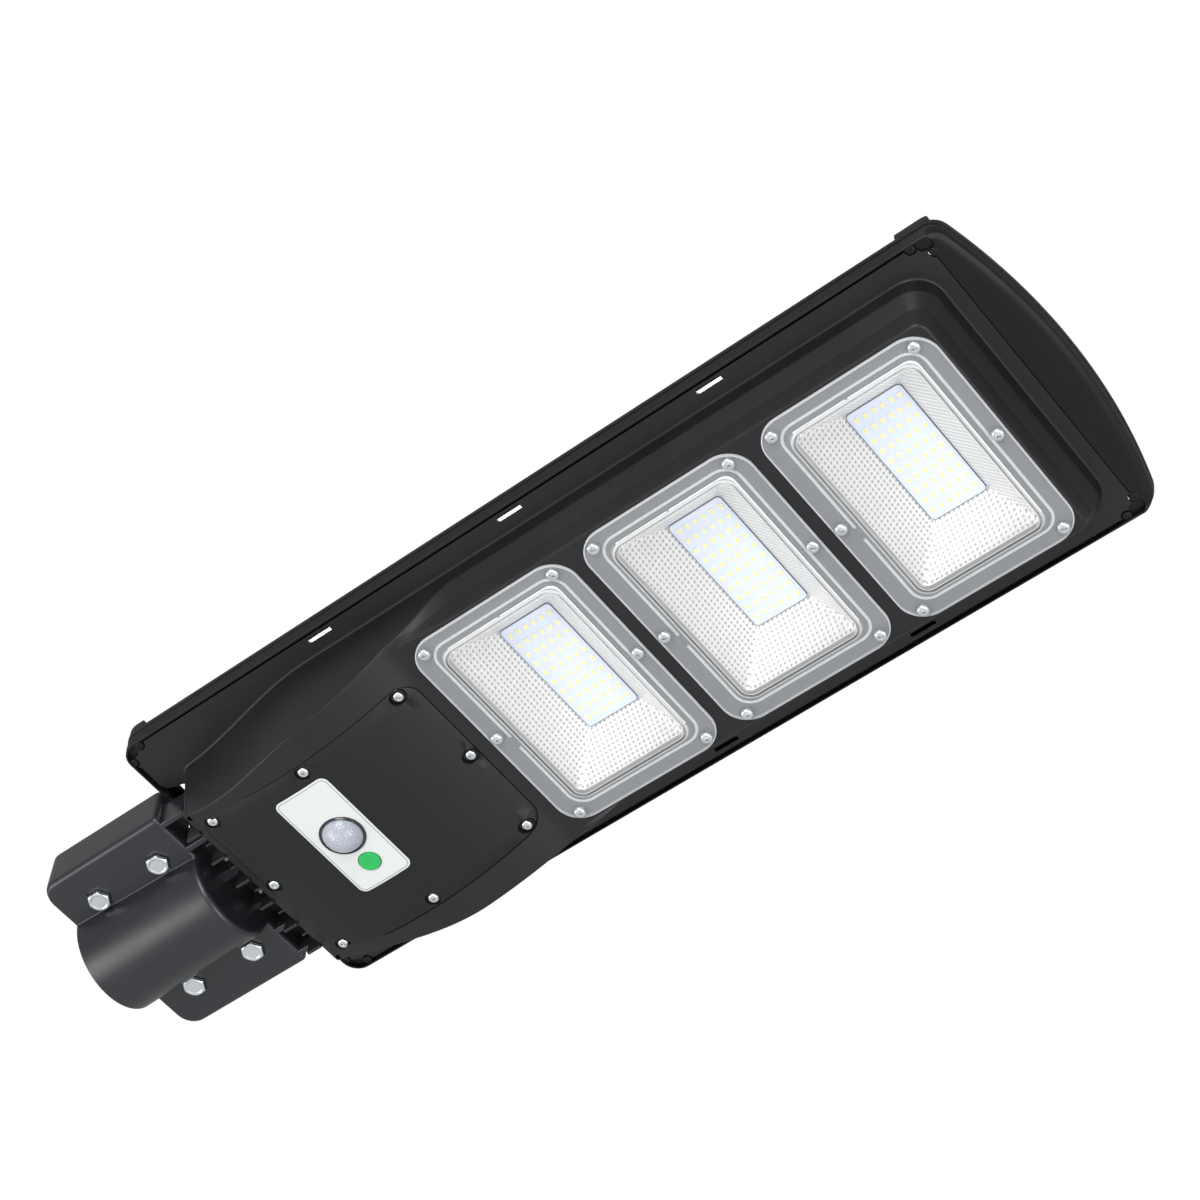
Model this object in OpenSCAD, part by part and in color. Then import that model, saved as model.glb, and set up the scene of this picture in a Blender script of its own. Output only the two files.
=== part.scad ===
/* [Frame] */
// Half of the width over the top frame
frame_half_w = 110.2; // [110:0.1:110.6]
// Height of the frame's top face above the pole axis
frame_top_z = 32.3; // [32.3:0.1:33]
// Radius of the nose arc seen from above
nose_r = 389; // [380:1:400]
// Radius of the frame's vertical corners
frame_corner_r = 12; // [11:0.5:13]
// Height of a corner pad above the frame
pad_h = 5; // [3:0.5:7]

/* [Housing] */
// Radius of the curved underside of the battery bay
hump_r = 209; // [209:0.5:212]
// Height of the lowest point of the battery bay
hump_z = -35.3; // [-36:0.1:-35]
// Height of the flat underside that carries the lamp covers
deck_z = -10.8; // [-11:0.1:-10.6]
// Length of a rear cooling rib
fin_l = 10; // [6:1:10]

/* [Lamp modules] */
// Distance from one lamp module to the next
module_pitch = 123.6; // [122:0.2:124]
// Length of a lamp cover along the lamp
cover_l = 114.5; // [113:0.5:115]
// Width of a lamp cover across the lamp
cover_w = 159; // [158:0.5:160]
// Chips along the lamp on one board
chip_cols = 6; // [3:1:6]
// Chips across the lamp on one board
chip_rows = 10; // [5:1:10]

/* [Battery] */
// Diameter of one lithium cell
cell_d = 32.4; // [31:0.1:32.6]
// Length of one lithium cell
cell_l = 70.5; // [68:0.5:71]

/* [Bracket] */
// Radius of the pole socket
pole_r = 30.1; // [30:0.05:30.3]
// Depth of the pole socket
socket_l = 85; // [80:1:86]
// Height of the socket bracket's side walls above the pole axis
skirt_top_z = 24.5; // [22:0.5:26]
// Size of the clamp bolts across the flats of the head
bolt_af = 13; // [12:0.5:13.5]

/* [Switch] */
// Travel of the push button
button_travel = 1.5; // [0.8:0.1:1.5]
// Radius of the push button
button_r = 6.65; // [6:0.05:6.7]

/* [Hidden] */
$fn = 64;
eps = 0.01;
cut = 2;

// frame
frame_x0 = 98.6;
frame_nose = 712;
rim_z = 17.3;
band_top_z = 28.1;
band_in = 0.5;
rim_t = 1.8;
ledge_z = 24;
ledge_t = 2.6;
panel_x0 = 104.6;
panel_x1 = 684.4;
panel_half = 104.9;
ledge_in = 2.2;
tape_t = 0.6;
sheet_t = 0.6;
cells_t = 0.35;
glass_t = 3.2;
glass_gap = 0.8;
sheet_z = ledge_z + ledge_t + tape_t;
cells_z = sheet_z + sheet_t + 0.03;
glass_z = cells_z + cells_t + 0.03;
boss_r = 2.75;
boss_z = 18.2;
pin_xy = [[677.2, 106.2], [687.2, 97.6], [113, 105.8], [101.2, 97.9]];

// lower housing
flange_z = 18.7;
flange_t = 3;
flange_half = 106.6;
flange_x0 = 103;
flange_x1 = 686.2;
slot_x = [254.9, 398.2, 540.4];
slot_y = 102.8;
slot_l = 17.3;
slot_w = 3.6;
tub_x0 = 120.2;
tub_x1 = 676.8;
tub_half = 92.9;
tub_rear_half = 76.8;
tub_flare_x = 234.7;
tub_corner_r = 18;
shoulder_z = 9.4;
shoulder_half = 91.4;
deck_half = 81.4;
deck_x1 = 666;
wall = 3;
hump_cx = 198;
hump_cz = hump_z + hump_r;
draft_y = 0.155;
draft_x = 0.088;
hump_low = -44;
merge_x0 = 290;
merge_x1 = 345.6;
merge_z = hump_cz - sqrt(hump_r * hump_r - pow(merge_x0 - hump_cx, 2));
flare_steps = 14;
pad_face_x = 118;

// battery bay
lid_x0 = 128.5;
lid_x1 = 293;
lid_half = 64.8;
lid_r = 13;
lid_t = 3.2;
gasket_t = 1;
ledge_w = 11;
lid_screw = [[139.3, 59.3], [139.3, -59.3], [212.1, 59.3], [212.1, -59.3],
             [282.8, 59.3], [282.8, -59.3], [135.4, 0], [288.1, 0]];
cell_x = [160, 193.6, 227.2, 260.8];
cell_z = 3;

// sensor and switch in the battery cover
label_c = [200.4, -9.7];
label_half = [19.5, 41.2];
label_r = 5;
label_t = 0.3;
pir_c = [200.4, -10.4];
pir_r = 14;
lens_r = 12.5;
lens_h = 8;
button_c = [200.8, 13.9];
button_face_z = -36.6;
board_z = -22;
board_t = 1.6;

// lamp modules
module_x0 = 360;
module_xs = [for (k = [0 : 2]) module_x0 + k * module_pitch];
cover_r = 17.3;
cover_t = 2.2;
cover_z = deck_z - cover_t;
window_half = [42, 65.5];
window_r = 9;
window_h = 0.8;
screw_corner = [47.2, 72];
screw_mid = 52.2;
pocket_half = [42.6, 66.1];
pocket_wall = 2.4;
pocket_floor = 2.5;
seal_half = [46.7, 70.3];
seal_r = 11;
seal_w = 2.4;
seal_h = 2.1;
seal_gap = 3;
led_half = [24, 50];
led_z = 17.1;
led_t = 1.6;
mouth_half = [18.7, 43.2];
chip = [2.8, 3.5, 0.8];
chip_px = 5.75;
chip_py = 8.15;

// bracket
bracket_l = 97;
bracket_half = 70;
mouth_corner_r = 10;
front_corner_r = 5;
lower_face_z = -4;
lower_top_z = 1.5;
side_t = 4;
front_t = 4;
barrel_r0 = 36;
barrel_r1 = 33.5;
cap_z = 4.5;
cap_t = 5;
cap_half = 64.5;
cap_x0 = 6;
cap_x1 = 85;
bolt_x = [26.5, 75.5];
bolt_y = 43.3;
bolt_r = 4;
bolt_head_z = -7.2;
bolt_seat_z = -1.9;
bolt_end_z = 30;
neck_half = 65;
neck_top_z = 15;
fix_y = [-48, -16, 16, 48];
fix_z = 5.5;
fix_r = 2.5;

// height of the curved underside at x
function hump_at(x) = hump_cz - sqrt(hump_r * hump_r - pow(x - hump_cx, 2));
// half width of the tub at x, a smooth step from the narrow rear to the full width
function flare_t(x) = min(1, max(0, (x - tub_x0) / (tub_flare_x - tub_x0)));
function tub_w(x) = tub_rear_half
    + (tub_half - tub_rear_half) * (3 * pow(flare_t(x), 2) - 2 * pow(flare_t(x), 3));

// ---------- plane outlines ----------

module round_rect(x0, x1, half, r) {
    translate([x0 + r, -half])
        square([x1 - x0 - 2 * r, 2 * half]);
    translate([x0, -half + r])
        square([x1 - x0, 2 * half - 2 * r]);
    for (x = [x0 + r, x1 - r], y = [-half + r, half - r])
        translate([x, y])
            circle(r);
}

module nose_outline(x0, nose, half, r, arc_r) {
    cx = nose - arc_r;
    fx = cx + sqrt(pow(arc_r - r, 2) - pow(half - r, 2));
    ty = arc_r * (half - r) / (arc_r - r);
    intersection() {
        translate([cx, 0])
            circle(arc_r, $fn = 360);
        translate([x0 + r, -ty])
            square([nose - x0, 2 * ty]);
    }
    translate([x0 + r, -half])
        square([fx - x0 - r, 2 * half]);
    translate([x0, -half + r])
        square([2 * r, 2 * (half - r)]);
    for (x = [x0 + r, fx], y = [-half + r, half - r])
        translate([x, y])
            circle(r);
}

module inset_outline(d) {
    nose_outline(frame_x0 + d, frame_nose - d, frame_half_w - d, frame_corner_r - d,
                 nose_r - d);
}

// points down one side of the tub, drafted inwards by d in y and by e at the rear
function side_points(d, e, s) = [for (i = [0 : flare_steps])
    let (x = tub_x0 + (tub_flare_x - tub_x0) * i / flare_steps)
    [x + e * (1 - i / flare_steps), s * (tub_w(x) - d)]];
function rev(v) = [for (i = [len(v) - 1 : -1 : 0]) v[i]];
function ring_points(d, e, x1) = concat(side_points(d, e, 1), [[x1, tub_half - d]],
    [[x1, -(tub_half - d)]], rev(side_points(d, e, -1)));

// prism between two drafted rings
module drafted(d0, e0, z0, d1, e1, z1, x1) {
    low = ring_points(d0, e0, x1);
    top = ring_points(d1, e1, x1);
    n = len(low);
    pts = concat([for (p = low) [p[0], p[1], z0]], [for (p = top) [p[0], p[1], z1]]);
    faces = concat([[for (i = [n - 1 : -1 : 0]) i]],
        [[for (i = [0 : n - 1]) n + i]],
        [for (i = [0 : n - 1]) [i, (i + 1) % n, n + (i + 1) % n, n + i]]);
    polyhedron(points = pts, faces = faces, convexity = 6);
}

// lens between the curved underside (at depth d inside it) and a high plane
module under_curve(d, x1) {
    r = hump_r - d;
    zm = merge_z + d;
    translate([0, 150, 0])
        rotate([90, 0, 0])
            linear_extrude(height = 300)
                union() {
                    intersection() {
                        translate([hump_cx, hump_cz])
                            circle(r, $fn = 360);
                        translate([100, -60])
                            square([merge_x0 - 100, 100]);
                    }
                    polygon([[merge_x0 - eps, 40], [merge_x0 - eps, zm],
                             [x1, shoulder_z + d], [x1, 40]]);
                }
}

module tub_outline(d) {
    intersection() {
        round_rect(tub_x0 + 60, tub_x1 - d, tub_half - d, tub_corner_r - d);
        translate([merge_x0, -120])
            square([500, 240]);
    }
}

// lamp section of the tub, d = distance inside the outer skin
module lamp_tub(d, z_top) {
    k = d * 1.15;
    intersection() {
        translate([0, 0, deck_z - 1])
            linear_extrude(height = z_top - deck_z + 1)
                tub_outline(d);
        translate([merge_x0, 0, 0])
            rotate([90, 0, 90])
                linear_extrude(height = 400)
                    polygon([[-(tub_half - d), z_top], [-(shoulder_half - k), shoulder_z],
                             [-(deck_half - k), deck_z + d], [deck_half - k, deck_z + d],
                             [shoulder_half - k, shoulder_z], [tub_half - d, z_top]]);
        translate([0, 120, 0])
            rotate([90, 0, 0])
                linear_extrude(height = 240)
                    polygon([[merge_x0, z_top], [merge_x0, deck_z + d],
                             [deck_x1 - k, deck_z + d], [tub_x1 - 1.5 - k, shoulder_z],
                             [tub_x1 - d, z_top]]);
    }
}

// ---------- frame and panel ----------

module corner_block(grow) {
    for (x = [[frame_x0, frame_x0 + 18], [670, 691]], s = [-1, 1])
        translate([x[0] - 20 * (x[0] < 200 ? 1 : 0), s > 0 ? 92 : -130, 0])
            square([x[1] - x[0] + 20 * (x[0] < 200 ? 1 : 0) + grow, 38]);
}

module corner_pads() {
    color("#18191b")
        union() {
            translate([0, 0, frame_top_z])
                linear_extrude(height = 0.7)
                    intersection() {
                        inset_outline(1.4);
                        corner_block(-1);
                    }
            translate([0, 0, frame_top_z + 0.6])
                linear_extrude(height = pad_h - 0.6)
                    intersection() {
                        inset_outline(0.2);
                        corner_block(0);
                    }
        }
}

module top_frame() {
    color("#1b1c1f")
        difference() {
            union() {
                translate([0, 0, band_top_z])
                    linear_extrude(height = frame_top_z - band_top_z)
                        inset_outline(0);
                translate([0, 0, rim_z])
                    linear_extrude(height = band_top_z - rim_z + eps)
                        inset_outline(band_in);
                for (z = [rim_z, 20.4, 22.9, 25.4])
                    translate([0, 0, z])
                        linear_extrude(height = 0.7)
                            inset_outline(band_in - 0.3);
            }
            // pocket of the panel
            translate([panel_x0, -panel_half, ledge_z + ledge_t])
                cube([panel_x1 - panel_x0, 2 * panel_half, 20]);
            translate([panel_x0 + ledge_in, -panel_half + ledge_in, rim_z - cut])
                cube([panel_x1 - panel_x0 - 2 * ledge_in, 2 * (panel_half - ledge_in), 20]);
            // space for the housing flange, open from below
            translate([0, 0, rim_z - cut])
                linear_extrude(height = ledge_z - rim_z + cut)
                    intersection() {
                        inset_outline(rim_t);
                        translate([90, -120])
                            square([flange_x1 + 0.6 - 90, 240]);
                    }
            // nose underside sits level with the flange
            translate([0, 0, rim_z - cut])
                linear_extrude(height = flange_z - rim_z + cut)
                    intersection() {
                        inset_outline(rim_t + 2);
                        translate([flange_x1 - 1, -120])
                            square([60, 240]);
                    }
            // hollow nose, open towards the inside
            translate([0, 0, flange_z + 2.5])
                linear_extrude(height = 8)
                    intersection() {
                        inset_outline(4);
                        translate([flange_x1 - 1, -90])
                            square([60, 180]);
                    }
            // small pin holes beside the front pads
            for (s = [-1, 1])
                translate([110.2, s * 103.7, ledge_z - cut])
                    cylinder(r = 1.8, h = 20);
        }
    color("#1b1c1f")
        for (p = pin_xy, s = [-1, 1])
            translate([p[0], s * p[1], boss_z])
                cylinder(r = boss_r, h = ledge_z - boss_z + 0.5);
}

module panel_plate(inset, z, t) {
    translate([panel_x0 + inset, -panel_half + inset, z])
        cube([panel_x1 - panel_x0 - 2 * inset, 2 * (panel_half - inset), t]);
}

module panel_backsheet() {
    color("#f1f2f0")
        panel_plate(glass_gap, sheet_z, sheet_t);
}

module panel_glass() {
    color("#20304a")
        panel_plate(glass_gap, glass_z, glass_t);
}

module solar_cells() {
    cols = 11;
    rows = 4;
    gap = 1.6;
    edge = 10;
    px = (panel_x1 - panel_x0 - 2 * edge + gap) / cols;
    py = (2 * (panel_half - edge) + gap) / rows;
    color("#101b33")
        for (i = [0 : cols - 1], j = [0 : rows - 1])
            translate([panel_x0 + edge + i * px, -panel_half + edge + j * py, cells_z])
                cube([px - gap, py - gap, cells_t]);
}

module panel_seal() {
    color("#202123")
        union() {
            difference() {
                panel_plate(0.05, ledge_z + ledge_t, tape_t);
                panel_plate(ledge_in, ledge_z, 10);
            }
            difference() {
                panel_plate(0.05, sheet_z - eps, 4);
                panel_plate(glass_gap - 0.02, sheet_z - 1, 10);
            }
        }
}

module junction_box() {
    color("#1a1b1d")
        difference() {
            translate([206, 43, sheet_z - 8.2])
                cube([46, 28, 8.2]);
            translate([208, 45, sheet_z - 6.2])
                cube([42, 24, 5]);
            translate([229, 40, sheet_z - 4.2])
                rotate([-90, 0, 0])
                    cylinder(r = 1.7, h = 10);
        }
}

// ---------- lower housing ----------

module flange_outline() {
    difference() {
        union() {
            polygon([[116.3, flange_half], [flange_x0 + 1.4, 96.5], [flange_x0, 75],
                     [104.4, 70.6], [113, 68.4], [116, 66],
                     [116, -66], [113, -68.4], [104.4, -70.6], [flange_x0, -75],
                     [flange_x0 + 1.4, -96.5], [116.3, -flange_half],
                     [flange_x1 - 14, -flange_half], [flange_x1 - 9, -101.5],
                     [flange_x1, -93], [flange_x1, 93], [flange_x1 - 9, 101.5],
                     [flange_x1 - 14, flange_half]]);
        }
        for (x = slot_x, s = [-1, 1])
            translate([x - slot_l / 2, s * slot_y - slot_w / 2])
                square([slot_l, slot_w]);
        for (p = pin_xy, s = [-1, 1])
            translate([p[0], s * p[1]])
                circle(boss_r + 0.9);
    }
}

module hump_solid(d) {
    z0 = 24 + 0.12 * d;
    low = hump_low - 0.12 * d;
    depth = flange_z - low;
    intersection() {
        drafted(draft_y * depth + d, draft_x * depth + d, low,
                d - draft_y * (z0 - flange_z), d - draft_x * (z0 - flange_z), z0,
                merge_x1 - d);
        under_curve(d, merge_x1);
    }
}

module lid_outline(grow) {
    round_rect(lid_x0 - grow, lid_x1 + grow, lid_half + grow, lid_r + grow);
}

// curved plate between depths a and b inside the curved underside
module curved_plate(a, b) {
    intersection() {
        difference() {
            translate([hump_cx, 150, hump_cz])
                rotate([90, 0, 0])
                    cylinder(r = hump_r - a, h = 300, $fn = 360);
            translate([hump_cx, 152, hump_cz])
                rotate([90, 0, 0])
                    cylinder(r = hump_r - b, h = 304, $fn = 360);
        }
        translate([0, 0, -60])
            linear_extrude(height = 60)
                children();
    }
}

module lid_ledge_outline() {
    difference() {
        lid_outline(2);
        round_rect(lid_x0 + ledge_w, lid_x1 - ledge_w, lid_half - ledge_w, 6);
    }
}

module lamp_pocket(x) {
    difference() {
        translate([x - pocket_half[0] - pocket_wall, -pocket_half[1] - pocket_wall,
                   deck_z])
            cube([2 * (pocket_half[0] + pocket_wall), 2 * (pocket_half[1] + pocket_wall),
                  flange_z + pocket_floor - deck_z]);
        translate([x - pocket_half[0], -pocket_half[1], deck_z - cut])
            cube([2 * pocket_half[0], 2 * pocket_half[1], flange_z - deck_z + cut]);
        // wire hole in the side wall
        translate([x - 10, -pocket_half[1] + 2, 12.5])
            rotate([90, 0, 0])
                cylinder(r = 2.6, h = 8);
    }
}

function cover_screws() = [for (x = module_xs,
    p = [[-screw_corner[0], -screw_corner[1]], [screw_corner[0], -screw_corner[1]],
         [-screw_corner[0], screw_corner[1]], [screw_corner[0], screw_corner[1]],
         [-screw_mid, 0], [screw_mid, 0]]) [x + p[0], p[1]]];

function board_screws() = [for (x = module_xs, i = [-1, 1], j = [-1, 1])
    [x + i * 21, j * 47]];

module seal_ring(x, half, w) {
    difference() {
        translate([x, 0])
            round_rect(-half[0] - w / 2, half[0] + w / 2, half[1] + w / 2, seal_r + w / 2);
        translate([x, 0])
            round_rect(-half[0] + w / 2, half[0] - w / 2, half[1] - w / 2, seal_r - w / 2);
    }
}

module rear_fins() {
    for (y = [10.9, 32.8, 54.7], s = [-1, 1])
        translate([124 - fin_l, s * y - 1.2, -22.5])
            cube([fin_l, 2.4, 17.7]);
    for (y = [0, 21.8, 43.7])
        for (s = y > 0 ? [-1, 1] : [1])
            translate([118.6, s * y - 0.9, -17])
                cube([5, 1.8, 12.2]);
}

module lower_housing() {
    color("#17181a")
        difference() {
            union() {
                translate([0, 0, flange_z])
                    linear_extrude(height = flange_t)
                        flange_outline();
                difference() {
                    union() {
                        hump_solid(0);
                        lamp_tub(0, flange_z + 1);
                        rear_fins();
                        translate([pad_face_x, -66, -4])
                            cube([6, 132, 20]);
                    }
                    translate([100, -120, flange_z + 1])
                        cube([600, 240, 30]);
                }
            }
            difference() {
                union() {
                    hump_solid(wall);
                    lamp_tub(wall, flange_z + 10);
                }
                // wall between the battery bay and the lamp section
                translate([296, -120, -60])
                    cube([wall, 240, 120]);
            }
            // recess of the battery cover
            curved_plate(-1, lid_t + gasket_t)
                lid_outline(0.3);
            // hollows under the seal cords
            for (x = module_xs)
                translate([0, 0, deck_z - 1])
                    linear_extrude(height = seal_h + 1.1)
                        seal_ring(x, seal_half, seal_w + 0.3);
            // mouths of the lamp pockets
            for (x = module_xs)
                translate([x - pocket_half[0], -pocket_half[1], deck_z - cut])
                    cube([2 * pocket_half[0], 2 * pocket_half[1], 10]);
            for (p = cover_screws())
                translate([p[0], p[1], deck_z - 1])
                    cylinder(r = 1.7, h = 10);
            // bracket screw holes
            for (y = fix_y)
                translate([pad_face_x - cut, y, fix_z])
                    rotate([0, 90, 0])
                        cylinder(r = fix_r + 0.2, h = 14);
            // drain holes beside the cover
            for (s = [-1, 1])
                translate([128.2, s * 67.6, -40])
                    cylinder(r = 1.8, h = 30);
            // cable pass between the two bays
            translate([290, -82, -2])
                rotate([0, 90, 0])
                    cylinder(r = 3, h = 14);
        }
    color("#17181a")
        union() {
            // ledge under the battery cover
            difference() {
                curved_plate(wall - 0.6, lid_t + gasket_t + wall)
                    lid_ledge_outline();
                curved_plate(-1, lid_t + gasket_t)
                    lid_outline(0.3);
                for (p = lid_screw)
                    translate([p[0], p[1], -40])
                        cylinder(r = 1.3, h = 40);
            }
            for (x = module_xs)
                difference() {
                    lamp_pocket(x);
                    translate([0, 0, deck_z - 1])
                        linear_extrude(height = seal_h + 1.1)
                            seal_ring(x, seal_half, seal_w + 0.3);
                    for (p = board_screws())
                        translate([p[0], p[1], flange_z - 1])
                            cylinder(r = 1.3, h = 6);
                }
            for (p = cover_screws())
                difference() {
                    translate([p[0], p[1], deck_z + 1])
                        cylinder(r = 3.6, h = 9);
                    translate([p[0], p[1], deck_z])
                        cylinder(r = 1.7, h = 9);
                    for (x = module_xs)
                        translate([x - pocket_half[0], -pocket_half[1], deck_z - cut])
                            cube([2 * pocket_half[0], 2 * pocket_half[1], 20]);
                }
        }
}

// ---------- battery bay ----------

module battery_cover() {
    color("#141517")
        difference() {
            curved_plate(0, lid_t)
                lid_outline(0);
            for (p = lid_screw) {
                translate([p[0], p[1], hump_at(p[0]) - 5])
                    cylinder(r = 4.9, h = 6.8);
                translate([p[0], p[1], -50])
                    cylinder(r = 1.9, h = 50);
            }
            translate([pir_c[0], pir_c[1], -50])
                cylinder(r = pir_r + 0.1, h = 30);
            translate([button_c[0], button_c[1], -50])
                cylinder(r = button_r + 0.3, h = 30);
        }
}

module battery_gasket() {
    color("#26282a")
        difference() {
            curved_plate(lid_t + 0.02, lid_t + gasket_t - 0.02)
                difference() {
                    lid_outline(-0.2);
                    round_rect(lid_x0 + ledge_w - 1, lid_x1 - ledge_w + 1,
                               lid_half - ledge_w + 1, 6);
                }
            for (p = lid_screw)
                translate([p[0], p[1], -50])
                    cylinder(r = 1.9, h = 50);
        }
}

module pan_screw(head_r, head_h, shank_r, shank_l) {
    difference() {
        union() {
            translate([0, 0, -head_h])
                rotate_extrude()
                    intersection() {
                        translate([0, 0])
                            square([head_r, head_h]);
                        translate([0, head_r * 1.35])
                            circle(head_r * 1.35, $fn = 96);
                    }
            cylinder(r = shank_r, h = shank_l);
        }
        for (a = [0, 90])
            rotate([0, 0, a])
                translate([-head_r * 0.55, -0.45, -head_h - 1])
                    cube([head_r * 1.1, 0.9, 2]);
    }
}

module battery_cover_screws() {
    color("#b9bcbe")
        for (p = lid_screw)
            translate([p[0], p[1], hump_at(p[0]) + 1.8])
                pan_screw(3.4, 2.2, 1.3, 7);
}

module battery_cells() {
    color("#2f6f9f")
        for (x = cell_x)
            translate([x, cell_l / 2, cell_z])
                rotate([90, 0, 0])
                    union() {
                        cylinder(r = cell_d / 2, h = cell_l);
                        translate([0, 0, -1.2])
                            cylinder(r = 7, h = cell_l + 2.4);
                    }
}

module battery_holder() {
    color("#2a2b2e")
        difference() {
            translate([143, -40, -8])
                cube([135, 80, 20]);
            for (x = cell_x)
                translate([x, 36.6, cell_z])
                    rotate([90, 0, 0])
                        cylinder(r = cell_d / 2 + 0.4, h = 73.2);
            for (x = cell_x, s = [-1, 1])
                translate([x, s * 36, cell_z])
                    rotate([s * -90, 0, 0])
                        cylinder(r = 4, h = 6);
        }
}

module controller_board() {
    color("#1d5b35")
        difference() {
            translate([152, -70, 4])
                cube([108, 27, board_t]);
            for (x = [157, 255], y = [-65, -48])
                translate([x, y, 0])
                    cylinder(r = 1.6, h = 10);
        }
    color("#c8b560")
        translate([196, -56, 4 + board_t])
            difference() {
                cylinder(r = 9, h = 9);
                translate([0, 0, -1])
                    cylinder(r = 4.5, h = 12);
            }
    color("#3a3d42")
        for (x = [168, 179])
            translate([x, -57, 4 + board_t])
                cylinder(r = 4, h = 11);
    color("#e9e6da")
        for (x = [214, 228, 242])
            translate([x, -53, 4 + board_t])
                cube([9, 8, 6]);
}

// ---------- sensor and switch ----------

module panel_label() {
    color("#e9ebe6")
        difference() {
            curved_plate(-label_t, -0.01)
                translate([label_c[0], label_c[1]])
                    round_rect(-label_half[0], label_half[0], label_half[1], label_r);
            translate([pir_c[0], pir_c[1], -50])
                cylinder(r = pir_r + 0.2, h = 30);
            translate([button_c[0], button_c[1], -50])
                cylinder(r = button_r + 0.5, h = 30);
        }
}

module pir_ring() {
    color("#1c1d1f")
        translate([pir_c[0], pir_c[1], 0])
            difference() {
                union() {
                    translate([0, 0, hump_z - 1.3])
                        cylinder(r = pir_r, h = 6);
                    translate([0, 0, hump_z + 4.3])
                        cylinder(r = pir_r + 2, h = 1.2);
                }
                translate([0, 0, hump_z - 2])
                    cylinder(r = lens_r + 0.1, h = 8);
            }
}

module pir_lens() {
    dome_r = (lens_r * lens_r + lens_h * lens_h) / (2 * lens_h);
    color("#dfe6ee")
        translate([pir_c[0], pir_c[1], hump_z])
            difference() {
                union() {
                    intersection() {
                        translate([0, 0, dome_r - lens_h])
                            sphere(dome_r);
                        translate([0, 0, -lens_h - 1])
                            cylinder(r = lens_r, h = lens_h + 1);
                    }
                    cylinder(r = lens_r, h = 4);
                }
                intersection() {
                    translate([0, 0, dome_r - lens_h])
                        sphere(dome_r - 1);
                    translate([0, 0, -lens_h])
                        cylinder(r = lens_r - 1, h = lens_h);
                }
                translate([0, 0, -eps])
                    cylinder(r = lens_r - 1, h = 5);
            }
}

module pir_sensor() {
    color("#c2c4c6")
        translate([pir_c[0], pir_c[1], 0])
            union() {
                translate([0, 0, board_z - 4.4])
                    cylinder(r = 4.1, h = 4.4);
                translate([0, 0, board_z - 0.6])
                    cylinder(r = 4.6, h = 0.6);
            }
}

module sensor_board() {
    color("#1d5b35")
        difference() {
            translate([184, -28, board_z])
                cube([33, 54, board_t]);
            for (x = [187.5, 213.5], y = [-24, 22])
                translate([x, y, board_z - 1])
                    cylinder(r = 1.4, h = 5);
        }
    color("#e9e6da")
        translate([205, 5, board_z + board_t])
            cube([8, 12, 5]);
}

module power_button() {
    color("#2f8f5b")
        translate([button_c[0], button_c[1], 0])
            union() {
                translate([0, 0, button_face_z])
                    cylinder(r = button_r, h = 5);
                translate([0, 0, -31.8])
                    cylinder(r = button_r + 1.1, h = 1);
                translate([0, 0, -31])
                    cylinder(r = 1.9, h = 3.2);
            }
}

module button_switch() {
    color("#26282b")
        translate([button_c[0] - 3, button_c[1] - 3, board_z - 3.5])
            cube([6, 6, 3.5]);
    color("#26282b")
        translate([button_c[0], button_c[1], board_z - 4])
            cylinder(r = 1.7, h = 1);
}

module button_spring() {
    color("#a9adb0")
        translate([button_c[0], button_c[1], 0])
            for (i = [0 : 3])
                translate([0, 0, board_z - 0.6 - i * 1.9])
                    rotate_extrude()
                        translate([5, 0])
                            circle(0.4, $fn = 24);
}

// ---------- lamp modules ----------

module led_cover(x) {
    color("#8d9196")
        difference() {
            union() {
                translate([0, 0, cover_z])
                    linear_extrude(height = cover_t - 0.02)
                        translate([x, 0])
                            round_rect(-cover_l / 2, cover_l / 2, cover_w / 2, cover_r);
                translate([0, 0, cover_z - window_h])
                    linear_extrude(height = window_h + eps)
                        translate([x, 0])
                            round_rect(-window_half[0], window_half[0], window_half[1],
                                       window_r);
            }
            for (p = cover_screws())
                if (abs(p[0] - x) < 60)
                    translate([p[0], p[1], cover_z - 2])
                        cylinder(r = 2.1, h = 8);
        }
}

module cover_seal(x) {
    color("#f3f3f1")
        translate([0, 0, deck_z + 0.02])
            linear_extrude(height = seal_h)
                difference() {
                    seal_ring(x, seal_half, seal_w);
                    translate([x - seal_half[0] - 4, -seal_gap / 2])
                        square([8, seal_gap]);
                }
}

module funnel(x, a, za, b, zb) {
    pts = [[x - a[0], -a[1], za], [x + a[0], -a[1], za], [x + a[0], a[1], za],
           [x - a[0], a[1], za], [x - b[0], -b[1], zb], [x + b[0], -b[1], zb],
           [x + b[0], b[1], zb], [x - b[0], b[1], zb]];
    polyhedron(points = pts, faces = [[0, 1, 2, 3], [7, 6, 5, 4], [0, 4, 5, 1],
        [1, 5, 6, 2], [2, 6, 7, 3], [3, 7, 4, 0]]);
}

module reflector(x) {
    color("#e3e5e7")
        difference() {
            funnel(x, [42.3, 65.8], deck_z + 0.1, [mouth_half[0] + 1, mouth_half[1] + 1],
                   led_z - 0.1);
            funnel(x, [41.2, 64.7], deck_z, mouth_half, led_z);
            translate([0, 0, deck_z - 1])
                linear_extrude(height = seal_h + 1.4)
                    seal_ring(x, seal_half, seal_w + 0.3);
        }
}

module led_board(x) {
    color("#dfe5ee")
        difference() {
            translate([x - led_half[0], -led_half[1], led_z])
                cube([2 * led_half[0], 2 * led_half[1], led_t - 0.02]);
            for (p = board_screws())
                if (abs(p[0] - x) < 60)
                    translate([p[0], p[1], led_z - 1])
                        cylinder(r = 1.7, h = 5);
        }
}

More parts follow.
